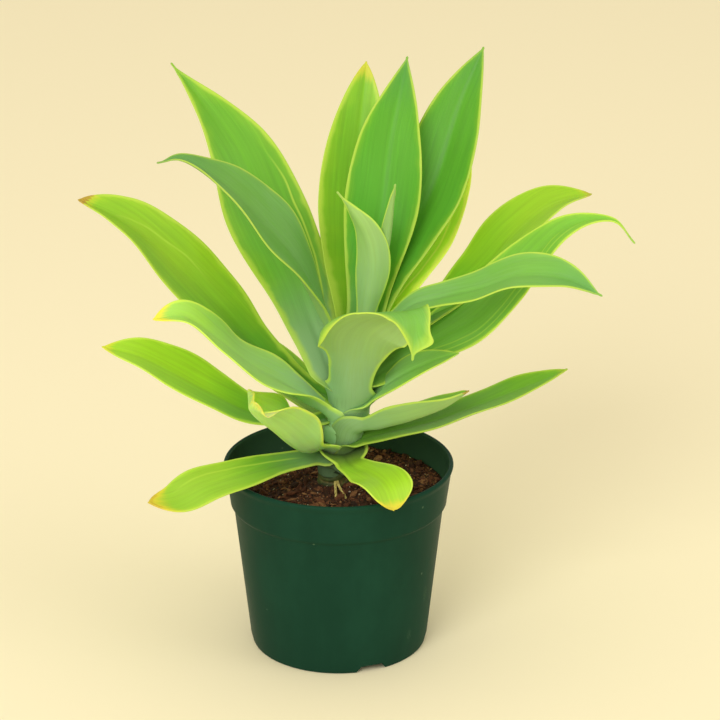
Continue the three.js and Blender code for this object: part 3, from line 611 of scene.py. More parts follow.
def blade_mesh(leaf, settings, seed):
    """The points, faces and per-point facts of one leaf, from its sheath round the stem to its tip."""
    rows = leaf_rows(leaf, settings)
    upper, lower, edge = half_blade(leaf, rows, -1, settings, seed)
    far_upper, far_lower, far_edge = half_blade(leaf, rows, 1, settings, seed)
    upper = upper[:0:-1] + far_upper
    lower = lower[:0:-1] + far_lower
    ring = upper + far_edge + lower[::-1] + edge[::-1]
    across = [k / HALF_COLUMNS for k in range(-HALF_COLUMNS, HALF_COLUMNS + 1)]
    across = np.array(across + [1.0] * len(edge) + across[::-1] + [-1.0] * len(edge))
    face = np.array([1.0] * len(upper) + EDGE_FACES + [0.0] * len(lower) + EDGE_FACES[::-1])
    tip = rows.points[-1] + rows.tangents[-1] * TIP_POINT
    skin = np.vstack([np.stack(ring, axis=1).reshape(-1, 3), rows.points[:1], tip[None]])

    fact = np.zeros((len(rows.t), len(ring), 4))
    fact[..., 0] = rows.t[:, None]
    fact[..., 1] = across * 0.5 + 0.5
    fact[..., 2] = (1 - np.abs(across)) * rows.half[:, None] / FACT_UNIT
    fact[..., 3] = face
    fact = np.vstack([fact.reshape(-1, 4), [[0, 0.5, 1, 0.5], [1, 0.5, 0, 0.5]]])
    unrolled = np.zeros((len(rows.t), len(ring), 2))
    unrolled[..., 0] = across * rows.half[:, None]
    unrolled[..., 1] = rows.at[:, None]
    unrolled = np.vstack([unrolled.reshape(-1, 2), [[0, 0], [0, rows.at[-1]]]])
    clasped = np.append(np.repeat(rows.clasp, len(ring)), [1, 0])
    return skin, closed_faces(len(rows.t), len(ring)), fact, unrolled, clasped


def leaf_object(leaf, settings, seed):
    skin, faces, fact, unrolled, clasped = blade_mesh(leaf, settings, seed)
    made = mesh_object(leaf["name"] + "_blade", skin, faces)
    mesh = made.data
    mesh.attributes.new("blade", "FLOAT_COLOR", "POINT").data.foreach_set("color", fact.ravel())
    set_values(made, "sheath", clasped)
    corner = np.zeros(len(mesh.loops), dtype=np.int32)
    mesh.loops.foreach_get("vertex_index", corner)
    mesh.uv_layers.new(name="Blade").data.foreach_set("uv", unrolled[corner].ravel())
    return made


# Material building

class Tree:
    """Short calls for adding nodes to one node tree."""

    def __init__(self, tree):
        self.tree = tree

    def node(self, kind, **settings):
        made = self.tree.nodes.new("ShaderNode" + kind)
        for key, value in settings.items():
            setattr(made, key, value)
        return made

    def join(self, source, target):
        self.tree.links.new(source, target)

    def feed(self, socket, value):
        if isinstance(value, bpy.types.NodeSocket):
            self.join(value, socket)
        elif value is not None:
            socket.default_value = value

    def math(self, operation, a, b=None, c=None, clamp=False):
        made = self.node("Math", operation=operation, use_clamp=clamp)
        for socket, value in zip(made.inputs, (a, b, c)):
            self.feed(socket, value)
        return made.outputs[0]

    def times(self, a, b, clamp=False):
        return self.math("MULTIPLY", a, b, clamp=clamp)

    def swung(self, base, value, swing, clamp=False):
        """A base value that swings with how far a noise value lies from its middle."""
        return self.math("MULTIPLY_ADD", self.math("SUBTRACT", value, 0.5), swing, base, clamp)

    def vector(self, operation, a, b):
        made = self.node("VectorMath", operation=operation)
        self.feed(made.inputs[0], a)
        self.feed(made.inputs[1], b)
        return made.outputs["Value" if operation == "DOT_PRODUCT" else "Vector"]

    def mix(self, share, a, b, blend="MIX"):
        made = self.node("Mix", data_type="RGBA", blend_type=blend)
        self.feed(made.inputs["Factor"], share)
        for socket, colour in zip((made.inputs[6], made.inputs[7]), (a, b)):
            self.feed(socket, colour if isinstance(colour, bpy.types.NodeSocket) else (*colour[:3], 1))
        return made.outputs[2]

    def shaded(self, colour, value):
        """A colour made darker or lighter by a number."""
        return self.mix(1.0, colour, self.group("Grey", Value=value)["Color"], "MULTIPLY")

    def ramp(self, value, low, high, start=0.0, end=1.0):
        made = self.node("MapRange", interpolation_type="SMOOTHSTEP")
        for socket, number in zip(made.inputs, (value, low, high, start, end)):
            self.feed(socket, number)
        return made.outputs[0]

    def noise(self, vector, scale, detail=3.0, roughness=0.5):
        made = self.node("TexNoise")
        for key, value in zip(("Vector", "Scale", "Detail", "Roughness"), (vector, scale, detail, roughness)):
            self.feed(made.inputs[key], value)
        return made.outputs["Fac"]

    def stretch(self, vector, scale, shift=(0, 0, 0)):
        made = self.node("Mapping")
        for key, value in zip(("Vector", "Scale", "Location"), (vector, scale, shift)):
            self.feed(made.inputs[key], value)
        return made.outputs[0]

    def moved(self, vector, axis, distance):
        """A vector moved along one axis, so that no two leaves share a pattern."""
        shift = self.node("CombineXYZ")
        self.join(distance, shift.inputs[axis])
        return self.vector("ADD", vector, shift.outputs[0])

    def attribute(self, name):
        return self.node("Attribute", attribute_name=name).outputs

    def group(self, name, **inputs):
        made = self.node("Group")
        made.node_tree = bpy.data.node_groups[name]
        for key, value in inputs.items():
            self.feed(made.inputs[key], value)
        return made.outputs

    def surface(self, colour, roughness, bump, specular=0.5):
        """Feeds the material's shader. bump gives a height, a strength and a depth in metres."""
        shader = self.tree.nodes["Principled BSDF"]
        self.join(colour, shader.inputs["Base Color"])
        self.join(roughness, shader.inputs["Roughness"])
        self.feed(shader.inputs["Specular IOR Level"], specular)
        relief = self.node("Bump")
        for key, value in zip(("Height", "Strength", "Distance"), bump):
            self.feed(relief.inputs[key], value)
        self.join(relief.outputs[0], shader.inputs["Normal"])
        return shader


SOCKET_KINDS = {"Unrolled": "Vector", "Vector": "Vector", "Color": "Color"}     # the others are numbers


def new_group(name, inputs, outputs):
    """An empty shader group with named sockets. Every input is fed wherever the group is used."""
    made = bpy.data.node_groups.new(name, "ShaderNodeTree")
    for side, keys in (("INPUT", inputs), ("OUTPUT", outputs)):
        for key in keys:
            kind = "NodeSocket" + SOCKET_KINDS.get(key, "Float")
            made.interface.new_socket(key, in_out=side, socket_type=kind)
    return Tree(made), made.nodes.new("NodeGroupInput").outputs, made.nodes.new("NodeGroupOutput").inputs


def group_blade_facts():
    """Where a point lies on its leaf: along it, across it, its distance from the margin in mm, its face."""
    tree, _, out = new_group(
        "Blade Facts", (), ("Along", "Across", "Margin", "Upper", "Unrolled", "Sheath"))
    facts = tree.attribute("blade")
    split = tree.node("SeparateColor")
    tree.join(facts["Color"], split.inputs[0])
    tree.join(split.outputs[0], out["Along"])
    tree.join(tree.math("MULTIPLY_ADD", split.outputs[1], 2.0, -1.0), out["Across"])
    tree.join(tree.times(split.outputs[2], FACT_UNIT / MM), out["Margin"])
    tree.join(facts["Alpha"], out["Upper"])
    tree.join(tree.node("UVMap", uv_map="Blade").outputs[0], out["Unrolled"])
    tree.join(tree.attribute("sheath")["Fac"], out["Sheath"])


def group_parallel_veins():
    """Fine lines that run the length of a leaf."""
    tree, given, out = new_group("Parallel Veins", ("Unrolled", "Seed"), ("Fine", "Broad"))
    moved = tree.moved(given["Unrolled"], 0, given["Seed"])
    tree.join(tree.noise(tree.stretch(moved, (1, 0.018, 1)), 1900.0, 2.0, 0.6), out["Fine"])
    tree.join(tree.noise(tree.stretch(moved, (1, 0.035, 1)), 420.0, 3.0, 0.55), out["Broad"])


def group_margin_band():
    """The pale band along both margins, a little uneven in width."""
    tree, given, out = new_group("Margin Band", ("Margin", "Width", "Unrolled"), ("Band", "Glow"))
    wander = tree.noise(tree.stretch(given["Unrolled"], (0.2, 1, 1)), 70.0, 2.0)
    width = tree.times(given["Width"], tree.ramp(wander, 0.3, 0.7, 0.7, 1.25))
    inner, outer = tree.times(width, 0.35), tree.times(width, 1.5)
    tree.join(tree.ramp(given["Margin"], inner, outer, 1.0, 0.0), out["Band"])
    tree.join(tree.ramp(given["Margin"], 0.0, tree.times(width, 5.0), 1.0, 0.0), out["Glow"])


def group_bud_print_highlight():
    """A faint pale line along the ridge that a neighbour's margin pressed into the blade in the bud: a
    painted highlight.
    """
    tree, given, out = new_group(
        "Bud Print", ("Margin", "Across", "Along", "Side", "Distance", "Start", "End", "Unrolled"), ("Line",))
    wander = tree.noise(tree.stretch(given["Unrolled"], (0.1, 1, 1)), 28.0, 1.0)
    offset = tree.swung(given["Distance"], wander, 5.0)
    away = tree.math("ABSOLUTE", tree.math("SUBTRACT", given["Margin"], offset))
    line = tree.ramp(away, 0.15, 1.1, 1.0, 0.0)
    right_side = tree.ramp(tree.times(given["Across"], given["Side"]), 0.02, 0.08)
    starting = tree.ramp(given["Along"], given["Start"], tree.math("ADD", given["Start"], 0.15))
    ending = tree.ramp(given["Along"], given["End"], tree.math("ADD", given["End"], 0.2), 1, 0)
    tree.join(tree.times(tree.times(line, right_side), tree.times(starting, ending)), out["Line"])


def group_wax_bloom():
    """Patches of pale wax, thicker towards the base of a leaf and rubbed off in places."""
    tree, given, out = new_group("Wax Bloom", ("Along", "Amount", "Unrolled", "Seed"), ("Mask",))
    moved = tree.moved(given["Unrolled"], 1, given["Seed"])
    patches = tree.noise(tree.stretch(moved, (1, 0.35, 1)), 60.0, 4.0, 0.6)
    amount = tree.times(given["Amount"], tree.ramp(given["Along"], 0.0, 0.85, 1.0, 0.45))
    rubbed = tree.ramp(patches, 0.3, 0.62, 0.72, 1.08)
    tree.join(tree.times(amount, rubbed, clamp=True), out["Mask"])


def group_speckle():
    """Small sparse specks, such as grit or pale dots."""
    tree, given, out = new_group("Speckle", ("Vector", "Scale", "Size", "Share"), ("Mask",))
    cells = tree.node("TexVoronoi", feature="F1")
    tree.join(given["Vector"], cells.inputs["Vector"])
    tree.join(given["Scale"], cells.inputs["Scale"])
    picked = tree.node("SeparateColor")
    tree.join(cells.outputs["Color"], picked.inputs[0])
    chosen = tree.math("LESS_THAN", picked.outputs[0], given["Share"])
    dot = tree.ramp(cells.outputs["Distance"], tree.times(given["Size"], 0.4), given["Size"], 1, 0)
    tree.join(tree.times(dot, chosen), out["Mask"])


def group_grey():
    """A number as a grey colour, so that it can darken or lighten another colour."""
    tree, given, out = new_group("Grey", ("Value",), ("Color",))
    made = tree.node("CombineColor")
    for socket in made.inputs[:3]:
        tree.join(given["Value"], socket)
    tree.join(made.outputs[0], out["Color"])


def new_material(name):
    made = bpy.data.materials.new(name)
    made.use_nodes = True
    return made, Tree(made.node_tree)


VEIN_SHIFT, WAX_SHIFT = 0.37, 0.53      # how far the patterns are moved from one leaf to the next
GLOW_COLOUR = (0.6, 1.0, 0.2)           # how far red, green and blue light pass through a blade
GLOW_REACH = 6 * MM


def leaf_material(leaf, settings, seed):
    """Skin of one leaf: green to lime above, waxy below, with a pale margin, veins and a dry tip."""
    look = {**PLAIN_LOOK, **LOOKS[leaf["name"]]}
    made, tree = new_material(leaf["name"] + "_skin")
    facts = tree.group("Blade Facts")
    distance, face, unrolled = facts["Along"], facts["Upper"], facts["Unrolled"]
    veins = tree.group("Parallel Veins", Unrolled=unrolled, Seed=seed * VEIN_SHIFT)
    width = tree.ramp(distance, 0.15, 0.65, 1.7 * look["band"], look["band"])
    band = tree.group("Margin Band", Margin=facts["Margin"], Width=width, Unrolled=unrolled)
    bloom = tree.group("Wax Bloom", Along=distance, Amount=look["bloom"], Unrolled=unrolled,
                       Seed=seed * WAX_SHIFT)
    drift = tree.noise(tree.stretch(unrolled, (1, 0.3, 1), (seed, 0, 0)), 34.0, 2.0)

    # Green and lime, and the pale lower face
    ripened = tree.ramp(distance, 0.1, 0.7, 1 - look["young"], 1.0)
    lime = tree.times(tree.times(tree.ramp(drift, 0.3, 0.7, 0.75, 1.2), look["lime"]), ripened)
    lime = tree.math("ADD", lime, tree.times(tree.ramp(distance, 0.1, 0.95), 0.12))
    lime = tree.math("ADD", lime, tree.times(band["Glow"], look["rim"]), clamp=True)
    upper = tree.mix(lime, settings.green, settings.lime)
    # Painted light: the upper face is lightened towards the tip by pale, as if lit through the blade
    upper = tree.mix(tree.ramp(distance, 0.35, 0.6, 0.0, look["pale"]), upper, settings.margin_colour)
    paled = tree.times(tree.ramp(drift, 0.3, 0.75, 0.8, 1.0), look["under"])
    lower = tree.mix(paled, upper, settings.underside)
    skin = tree.mix(face, lower, upper)

    # Painted shade on the base and the sheath, and the veins
    shade = tree.ramp(distance, 0.0, look["shade"], 1 - look["deep"], 1.0)
    skin = tree.shaded(skin, tree.times(shade, tree.ramp(facts["Sheath"], 0.0, 0.8, 1.0, 1 - look["foot"])))
    skin = tree.shaded(skin, tree.swung(tree.swung(1.0, veins["Broad"], 0.42), veins["Fine"], 0.22))

    # Wax
    waxed = tree.times(bloom["Mask"], tree.ramp(face, 0.0, 1.0, 1.0, 0.8))
    waxed = tree.times(waxed, tree.ramp(veins["Fine"], 0.3, 0.7, 0.72, 1.12))
    waxed = tree.math("ADD", waxed, tree.ramp(distance, 0.05, 0.35, look["wax"], 0.0), clamp=True)
    skin = tree.mix(waxed, skin, settings.bloom)

    # Prints, painted as pale highlights along their ridges, the young tip and the pale margin
    for side, from_margin, start, end, strength in look["prints"]:
        line = tree.group("Bud Print", Margin=facts["Margin"], Across=facts["Across"], Along=distance,
                          Side=side, Distance=from_margin, Start=start, End=end, Unrolled=unrolled)["Line"]
        skin = tree.mix(tree.times(line, tree.times(face, strength)), skin, settings.margin_colour)
    skin = tree.mix(tree.ramp(distance, 1 - 2.0 * look["tip"], 1.0, 0.0, look["cool"]), skin, settings.cool)
    free = tree.math("SUBTRACT", 1.0, facts["Sheath"], clamp=True)
    pale_edge = tree.times(tree.times(band["Band"], free), 0.72)
    pale_edge = tree.times(pale_edge, tree.ramp(distance, 0.9, 1.0, 1.0, 0.35))
    skin = tree.mix(pale_edge, skin, settings.margin_colour)

    # The yellowed and dried tip
    ragged = tree.swung(distance, veins["Broad"], 0.1)
    near_edge = tree.math("MULTIPLY_ADD", band["Glow"], look["tip"] * 0.6, ragged)
    yellowed = tree.ramp(near_edge, 1 - 1.7 * look["tip"], 1.0 - 0.2 * look["tip"], 0.0, look["yellow"])
    skin = tree.mix(yellowed, skin, settings.yellow)
    browned = tree.ramp(near_edge, 1 - 0.45 * look["tip"], 1.0, 0.0, look["brown"])
    skin = tree.mix(browned, skin, settings.brown)

    rough = tree.math("MULTIPLY_ADD", veins["Fine"], 0.1, tree.math("MULTIPLY_ADD", waxed, 0.16, 0.40))
    height = tree.math("MULTIPLY_ADD", veins["Fine"], 0.5, veins["Broad"])
    # tone brightens or darkens the whole leaf: its own lightness, and in part painted light and shade
    shader = tree.surface(tree.shaded(skin, look["tone"]), rough, (height, 0.22, 0.0004), specular=0.36)
    shader.inputs["Subsurface Weight"].default_value = look["glow"]
    shader.inputs["Subsurface Radius"].default_value = GLOW_COLOUR
    shader.inputs["Subsurface Scale"].default_value = GLOW_REACH
    return made


def scaled(colour, *shares):
    return tuple(value * share for value, share in zip(colour, shares))


def stem_material(settings):
    """Green stem with darker blotches, dry and brown along its leaf scars."""
    made, tree = new_material("stem_bark")
    place = tree.node("TexCoord").outputs["Object"]
    grain = tree.noise(tree.stretch(place, (1, 1, 0.3)), 700.0, 4.0, 0.6)
    blotch = tree.ramp(tree.noise(place, 120.0, 3.0), 0.35, 0.65)
    skin = tree.mix(blotch, settings.colour, scaled(settings.colour, 0.35, 0.35, 0.4))
    scarred = tree.times(tree.attribute("scar")["Fac"], tree.ramp(grain, 0.35, 0.6))
    skin = tree.mix(scarred, skin, settings.scar_colour)
    root = tree.mix(tree.ramp(grain, 0.4, 0.7), settings.root_colour,
                    scaled(settings.root_colour, 0.5, 0.45, 0.35))
    skin = tree.mix(tree.attribute("root")["Fac"], skin, root)
    tree.surface(skin, tree.ramp(grain, 0.3, 0.7, 0.55, 0.8), (grain, 0.5, 0.0004))
    return made


def pot_material(settings):
    """Satin moulded plastic with faint flow marks, dust and rubbed spots."""
    made, tree = new_material("pot_plastic")
    coordinates = tree.node("TexCoord").outputs
    place = coordinates["Object"]
    haze = tree.noise(tree.stretch(place, (1, 1, 0.55)), 22.0, 4.0, 0.6)
    grain = tree.noise(place, 1500.0, 2.0, 0.6)
    flow = tree.noise(tree.stretch(place, (1, 1, 0.08)), 90.0, 3.0)
    dots = tree.group("Speckle", Vector=place, Scale=130.0, Size=0.14, Share=0.05)["Mask"]
    rubs = tree.group("Speckle", Vector=tree.stretch(place, (1, 1, 0.4)), Scale=90.0, Size=0.3,
                      Share=0.05)["Mask"]
    lighter = tuple(min(1, value * 1.45) for value in settings.colour)
    skin = tree.mix(tree.ramp(haze, 0.4, 0.72, 0.0, 0.5), settings.colour, lighter)
    skin = tree.mix(tree.ramp(flow, 0.5, 0.75, 0.0, 0.2), skin, lighter)
    worn = tree.times(rubs, tree.ramp(grain, 0.45, 0.65, 0.0, 0.35))
    skin = tree.mix(worn, skin, settings.scuff_colour)
    skin = tree.mix(tree.times(dots, 0.6), skin, settings.scuff_colour)

    # Dried minerals where the wall faces the pot's middle
    outwards = tree.vector("DOT_PRODUCT", coordinates["Normal"], tree.stretch(place, (1, 1, 0)))
    skin = tree.mix(tree.ramp(outwards, -0.05, -0.03, 0.45, 0.0), skin, settings.dust_colour)

    rough = tree.math("MULTIPLY_ADD", worn, 0.3, tree.ramp(haze, 0.35, 0.7, 0.36, 0.5))
    height = tree.math("MULTIPLY_ADD", flow, 2.0, grain)
    tree.surface(skin, rough, (height, 0.15, 0.0002), specular=0.03)
    return made


def mix_material(settings, name):
    """Bark in browns that differ from piece to piece, with a few pale grains."""
    made, tree = new_material(name)
    place = tree.node("TexCoord").outputs["Object"]
    grain = tree.noise(place, 900.0, 4.0, 0.65)
    patch = tree.noise(place, 160.0, 3.0)
    ramp = tree.node("ValToRGB")
    stops = ramp.color_ramp.elements
    stops[0].position, stops[0].color = 0.0, (*settings.dark, 1)
    stops[1].position, stops[1].color = 0.97, (*settings.grain, 1)
    for position, colour in ((0.45, settings.red), (0.88, settings.tan)):
        stops.new(position).color = (*colour, 1)
    value = tree.swung(tree.attribute("tone")["Fac"], grain, 0.5)
    tree.join(tree.swung(value, patch, 0.35, clamp=True), ramp.inputs[0])
    tree.surface(ramp.outputs[0], tree.ramp(grain, 0.3, 0.7, 0.75, 0.95), (grain, 0.7, 0.0006), specular=0.25)
    return made


# Stem and roots

STEM_SIDES = 48
STEM_ROWS = 220
ROOT_SIDES = 12
ROOT_ROWS = 60
ROOT_THINNING = 0.35        # share of its radius that a root loses towards its far end
KNOB_SHARE = 0.12           # height of a root's knobs, as a share of its radius
SCAR_WIDTH = 0.13           # of the spacing
# The waves that make the scars slant: height, number round the stem, and how far they turn in a metre
SCAR_WAVES = [(1.6 * MM, 2, 260), (0.8 * MM, 3, -410)]


def stem_parts(settings):
    """The trunk with its slanting leaf scars, and the roots at its front."""
    angles = np.linspace(0, 2 * math.pi, STEM_SIDES, endpoint=False)
    points, scar = [], []
    for z in np.linspace(STEM_FOOT, STEM_TOP, STEM_ROWS):
        centre = stem_centre(z)
        slant = z + sum(height * np.sin(angles * waves + z * turn) for height, waves, turn in SCAR_WAVES)
        phase = (slant / settings.scar_pitch) % 1
        groove = np.exp(-((phase - 0.5) / SCAR_WIDTH) ** 2)
        ledge = smooth(0.5, 0.95, phase) * (1 - smooth(0.95, 1.0, phase))
        r = float(stem_radius(z)) - settings.scar_depth * (groove - 0.5 * ledge)
        points += [(centre[0] + a, centre[1] + b, z) for a, b in zip(r * np.cos(angles), r * np.sin(angles))]
        scar += list(groove)
    faces = closed_faces(STEM_ROWS, STEM_SIDES)
    points += [tuple(stem_centre(STEM_FOOT)), tuple(stem_centre(STEM_TOP) + np.array([0, 0, 1 * MM]))]
    scar += [0, 0]
    root = [0.0] * len(points)
    for line in ROOTS:
        extra, skin = tube(np.array(line) * MM, settings.root_radius, ROOT_ROWS, ROOT_SIDES)
        faces += [tuple(i + len(points) for i in face) for face in skin]
        points += extra
        scar += [0.0] * len(extra)
        root += [1.0] * len(extra)
    return points, faces, scar, root


def tube(line, radius, rows, around):
    """A knobbly tube along a line, a little thinner at its far end, with closed ends."""
    dense, distance = spline(line)
    points, tangents = sampled(dense, distance, np.linspace(0, distance[-1], rows))
    side = unit(np.cross(tangents, [0.0, 0.0, 1.0]))
    up = np.cross(side, tangents)
    skin = []
    for i, (p, s, u) in enumerate(zip(points, side, up)):
        knob = KNOB_SHARE * math.sin(i * 0.9) * math.sin(i * 0.37 + 1)
        thin = radius * (1 - ROOT_THINNING * i / rows) * (1 + knob)
        for j in range(around):
            a = 2 * math.pi * j / around
            skin.append(p + s * thin * math.cos(a) + u * thin * math.sin(a))
    faces = ring_faces(rows, around)
    faces.append(tuple(range(around - 1, -1, -1)))
    faces.append(tuple((rows - 1) * around + j for j in range(around)))
    return skin, faces


# Pot

POT_SIDES = 160
NOTCHES = 3
NOTCH_TURN = math.radians(292)
FLARE = 1.2 * MM            # how far the body stands out over its rounded foot
INNER_FLARE = 0.8 * MM      # the same for the inside of the wall
HEEL = 6 * MM               # where the body's taper begins
LIP_ROUNDING = 1.5 * MM
FLOOR_CORNER = 3 * MM       # bevel where the inside of the wall meets the floor
SHARP_EDGE = math.radians(38)


def inside_radius(pot, z):
    """Inside radius of the pot at a height above what it stands on."""
    step = pot.height - pot.collar_height
    if z <= step:
        foot = pot.base_radius + INNER_FLARE
        return foot + (pot.body_top - foot) * z / step - pot.wall
    share = (z - step) / (pot.collar_height - 4 * MM)
    return pot.collar_foot + (pot.collar_top - pot.collar_foot) * share - pot.wall


def arc(centre, radius, start, end, count):
    """Points of a round stretch of an outline, from one angle to another, in degrees."""
    return [(centre[0] + radius * math.cos(math.radians(a)), centre[1] + radius * math.sin(math.radians(a)))
            for a in np.linspace(start, end, count)]


def pot_outline(pot):
    """Outline of the pot's wall as radius and height, from under the floor, round the lip, to its inside."""
    step = pot.height - pot.collar_height
    floor = pot.foot_height + pot.wall
    ring = pot.base_radius - pot.foot_width
    base, top = pot.base_radius + FLARE, pot.height
    outline = [(0, 0), (pot.centre_foot - 0.5 * MM, 0), (pot.centre_foot, 0.5 * MM),
               (pot.centre_foot + 1 * MM, pot.foot_height), (ring - 1 * MM, pot.foot_height),
               (ring - 0.2 * MM, 0.6 * MM), (ring + 0.4 * MM, 0)]
    outline += arc((pot.base_radius - FLARE, FLARE), FLARE, -90, -5, 6)
    outline += [(base + (pot.body_top - base) * share, HEEL + (step - HEEL - 2 * MM) * share)
                for share in (0, 0.25, 0.5, 0.75)]
    outline += [(pot.body_top, step - 2.6 * MM), (pot.body_top + 0.3 * MM, step - 1.6 * MM),
                (pot.collar_foot - 0.5 * MM, step - 0.4 * MM), (pot.collar_foot, step + 0.5 * MM),
                (pot.collar_foot + 0.1 * MM, step + 2 * MM), (pot.collar_top - 0.2 * MM, top - 6 * MM),
                (pot.collar_top + 0.1 * MM, top - 4.4 * MM), (pot.lip_radius - 0.5 * MM, top - 3.4 * MM)]
    outline += arc((pot.lip_radius - LIP_ROUNDING, top - LIP_ROUNDING), LIP_ROUNDING, -15, 150, 12)
    outline += [(pot.lip_radius - 3.0 * MM, top - 2.0 * MM)]
    outline += [(inside_radius(pot, z), z)
                for z in (top - 4.5 * MM, step + 0.8 * MM, step - 2 * MM, floor + FLOOR_CORNER)]
    outline += [(inside_radius(pot, floor) - FLOOR_CORNER, floor), (0, floor)]
    return outline


def turned(outline, sides):
    """Points and faces of an outline turned about Z. Its first and last points lie on the axis."""
    middle = outline[1:-1]
    angles = np.linspace(0, 2 * math.pi, sides, endpoint=False)
    points = [(r * math.cos(a), r * math.sin(a), z) for r, z in middle for a in angles]
    points += [(0, 0, outline[0][1]), (0, 0, outline[-1][1])]
    return points, closed_faces(len(middle), sides)


def cutter_mesh(pot):
    """The drainage notches and drain holes that are cut out of the pot, as one mesh."""
    cut = bmesh.new()
    half = pot.notch_width / 2
    top = pot.foot_height - 0.3 * MM
    shape = [(-half - 1 * MM, -1 * MM), (half + 1 * MM, -1 * MM), (half - 2 * MM, top - 1 * MM),
             (half - 3 * MM, top), (3 * MM - half, top), (2 * MM - half, top - 1 * MM)]
    for k in range(NOTCHES):
        turn = Matrix.Rotation(NOTCH_TURN + k * 2 * math.pi / NOTCHES, 4, "Z")
        ends = [[cut.verts.new(turn @ Vector((r, x, z))) for x, z in shape]
                for r in (pot.base_radius - 12 * MM, pot.base_radius + 8 * MM)]
        cut.faces.new(list(reversed(ends[0])))
        cut.faces.new(ends[1])
        for i in range(len(shape)):
            j = (i + 1) % len(shape)
            cut.faces.new((ends[0][i], ends[0][j], ends[1][j], ends[1][i]))
        drill = bmesh.ops.create_cone(cut, cap_ends=True, segments=32, radius1=pot.drain_radius,
                                      radius2=pot.drain_radius, depth=10 * MM)
        place = turn @ Matrix.Translation((pot.drain_ring, 0, pot.foot_height + 1 * MM))
        bmesh.ops.transform(cut, matrix=place, verts=drill["verts"])
    bmesh.ops.recalc_face_normals(cut, faces=cut.faces)
    mesh = bpy.data.meshes.new("pot_cutter")
    cut.to_mesh(mesh)
    cut.free()
    return mesh


def cut_away(made, cutter):
    """Cuts one mesh out of another object and applies the cut."""
    tool = bpy.data.objects.new("cutter", cutter)
    bpy.context.scene.collection.objects.link(tool)
    change = made.modifiers.new("cut", "BOOLEAN")
    change.operation = "DIFFERENCE"
    change.solver = "EXACT"
    change.object = tool
    done = bpy.data.meshes.new_from_object(made.evaluated_get(bpy.context.evaluated_depsgraph_get()))
    made.modifiers.clear()
    made.data = done
    bpy.data.objects.remove(tool)


# Potting mix

MIX_SIDES = 160
MIX_RINGS = 60
# Coarse and fine lumps of the surface: how many in a metre, their height, and where their noise is read
LUMPS = [(90, 0.9 * MM, 0), (260, 0.8 * MM, 4)]
WALL_GAP = 0.25 * MM
BARK_LEVEL = 108 * MM       # where the pieces lie against the wall
STEM_LEVEL = 112 * MM       # where they lie against the stem
BARK_GAP = 1.6 * MM
STEM_CLEARANCE = 9.5 * MM
# Least and most length, width and height of a piece, as shares of its size
BARK_SHAPE = [(0.7, 1.5), (0.45, 0.9), (0.25, 0.6)]
BARK_TILT = 0.5             # usual tilt of a piece, in radians
BARK_ROUGHNESS = 0.5        # how uneven its corners are
BARK_TONE = (0.4, 0.2)      # usual tone of a piece, and how much it varies
TONE_RANGE = (0.04, 0.85)
PALE_GRAIN_SHARE = 0.03


def mix_height(x, y):
    """Height of the mix's surface, mounded towards the stem, with low uneven lumps."""
    base = np.interp(math.hypot(x, y) / MM, *zip(*MIX_PROFILE)) * MM
    return base + sum(height * noise.noise(Vector((x, y, shift)) * scale) for scale, height, shift in LUMPS)


def mix_surface(pot):
    """The mix as one closed body: the bumpy top, the side inside the wall and the bottom on the floor."""
    step = pot.height - pot.collar_height
    edge = inside_radius(pot, MIX_EDGE * MM) - WALL_GAP
    floor = pot.foot_height + pot.wall + WALL_GAP
    circle = [(math.cos(a), math.sin(a)) for a in np.linspace(0, 2 * math.pi, MIX_SIDES, endpoint=False)]
    radii = [edge * i / MIX_RINGS for i in range(1, MIX_RINGS)]
    points = [(r * x, r * y, mix_height(r * x, r * y)) for r in radii for x, y in circle]
    wall = [(edge, MIX_EDGE * MM),
            (inside_radius(pot, step + 1 * MM) - 2 * WALL_GAP, step + 1 * MM),
            (inside_radius(pot, step - 2 * MM) - 1.5 * WALL_GAP, step - 2 * MM),
            (inside_radius(pot, floor + 3.5 * MM) - WALL_GAP, floor + 3.5 * MM),
            (inside_radius(pot, floor) - 3.6 * MM, floor)]
    points += [(r * x, r * y, z) for r, z in wall for x, y in circle]
    points += [(0, 0, mix_height(0, 0)), (0, 0, floor)]
    faces = [face[::-1] for face in closed_faces(len(radii) + len(wall), MIX_SIDES)]
    tone = [0.1 + 0.2 * noise.noise(Vector(point) * 300) for point in points]
    return points, faces, tone


def bark_piece(rng, size, fineness):
    """One broken piece of bark: a squashed low ball with uneven corners."""
    piece = bmesh.new()
    bmesh.ops.create_icosphere(piece, subdivisions=fineness, radius=1)
    stretch = Vector([rng.uniform(*limits) for limits in BARK_SHAPE]) * size / 2
    shift = Vector(rng.uniform(-50, 50, 3))
    turn = Matrix.Rotation(rng.uniform(0, 2 * math.pi), 3, "Z")
    for axis in "XY":
        turn = turn @ Matrix.Rotation(rng.normal(0, BARK_TILT), 3, axis)
    points = [turn @ (vert.co * stretch) * (1 + BARK_ROUGHNESS * noise.noise(vert.co * 1.6 + shift))
              for vert in piece.verts]
    faces = [tuple(v.index for v in face.verts) for face in piece.faces]
    piece.free()
    return points, faces


def piece_size(rng):
    return MM * min(6.5, 1.6 + rng.gamma(1.6, 0.95))


def crumb_size(rng):
    return MM * rng.uniform(0.7, 1.9)


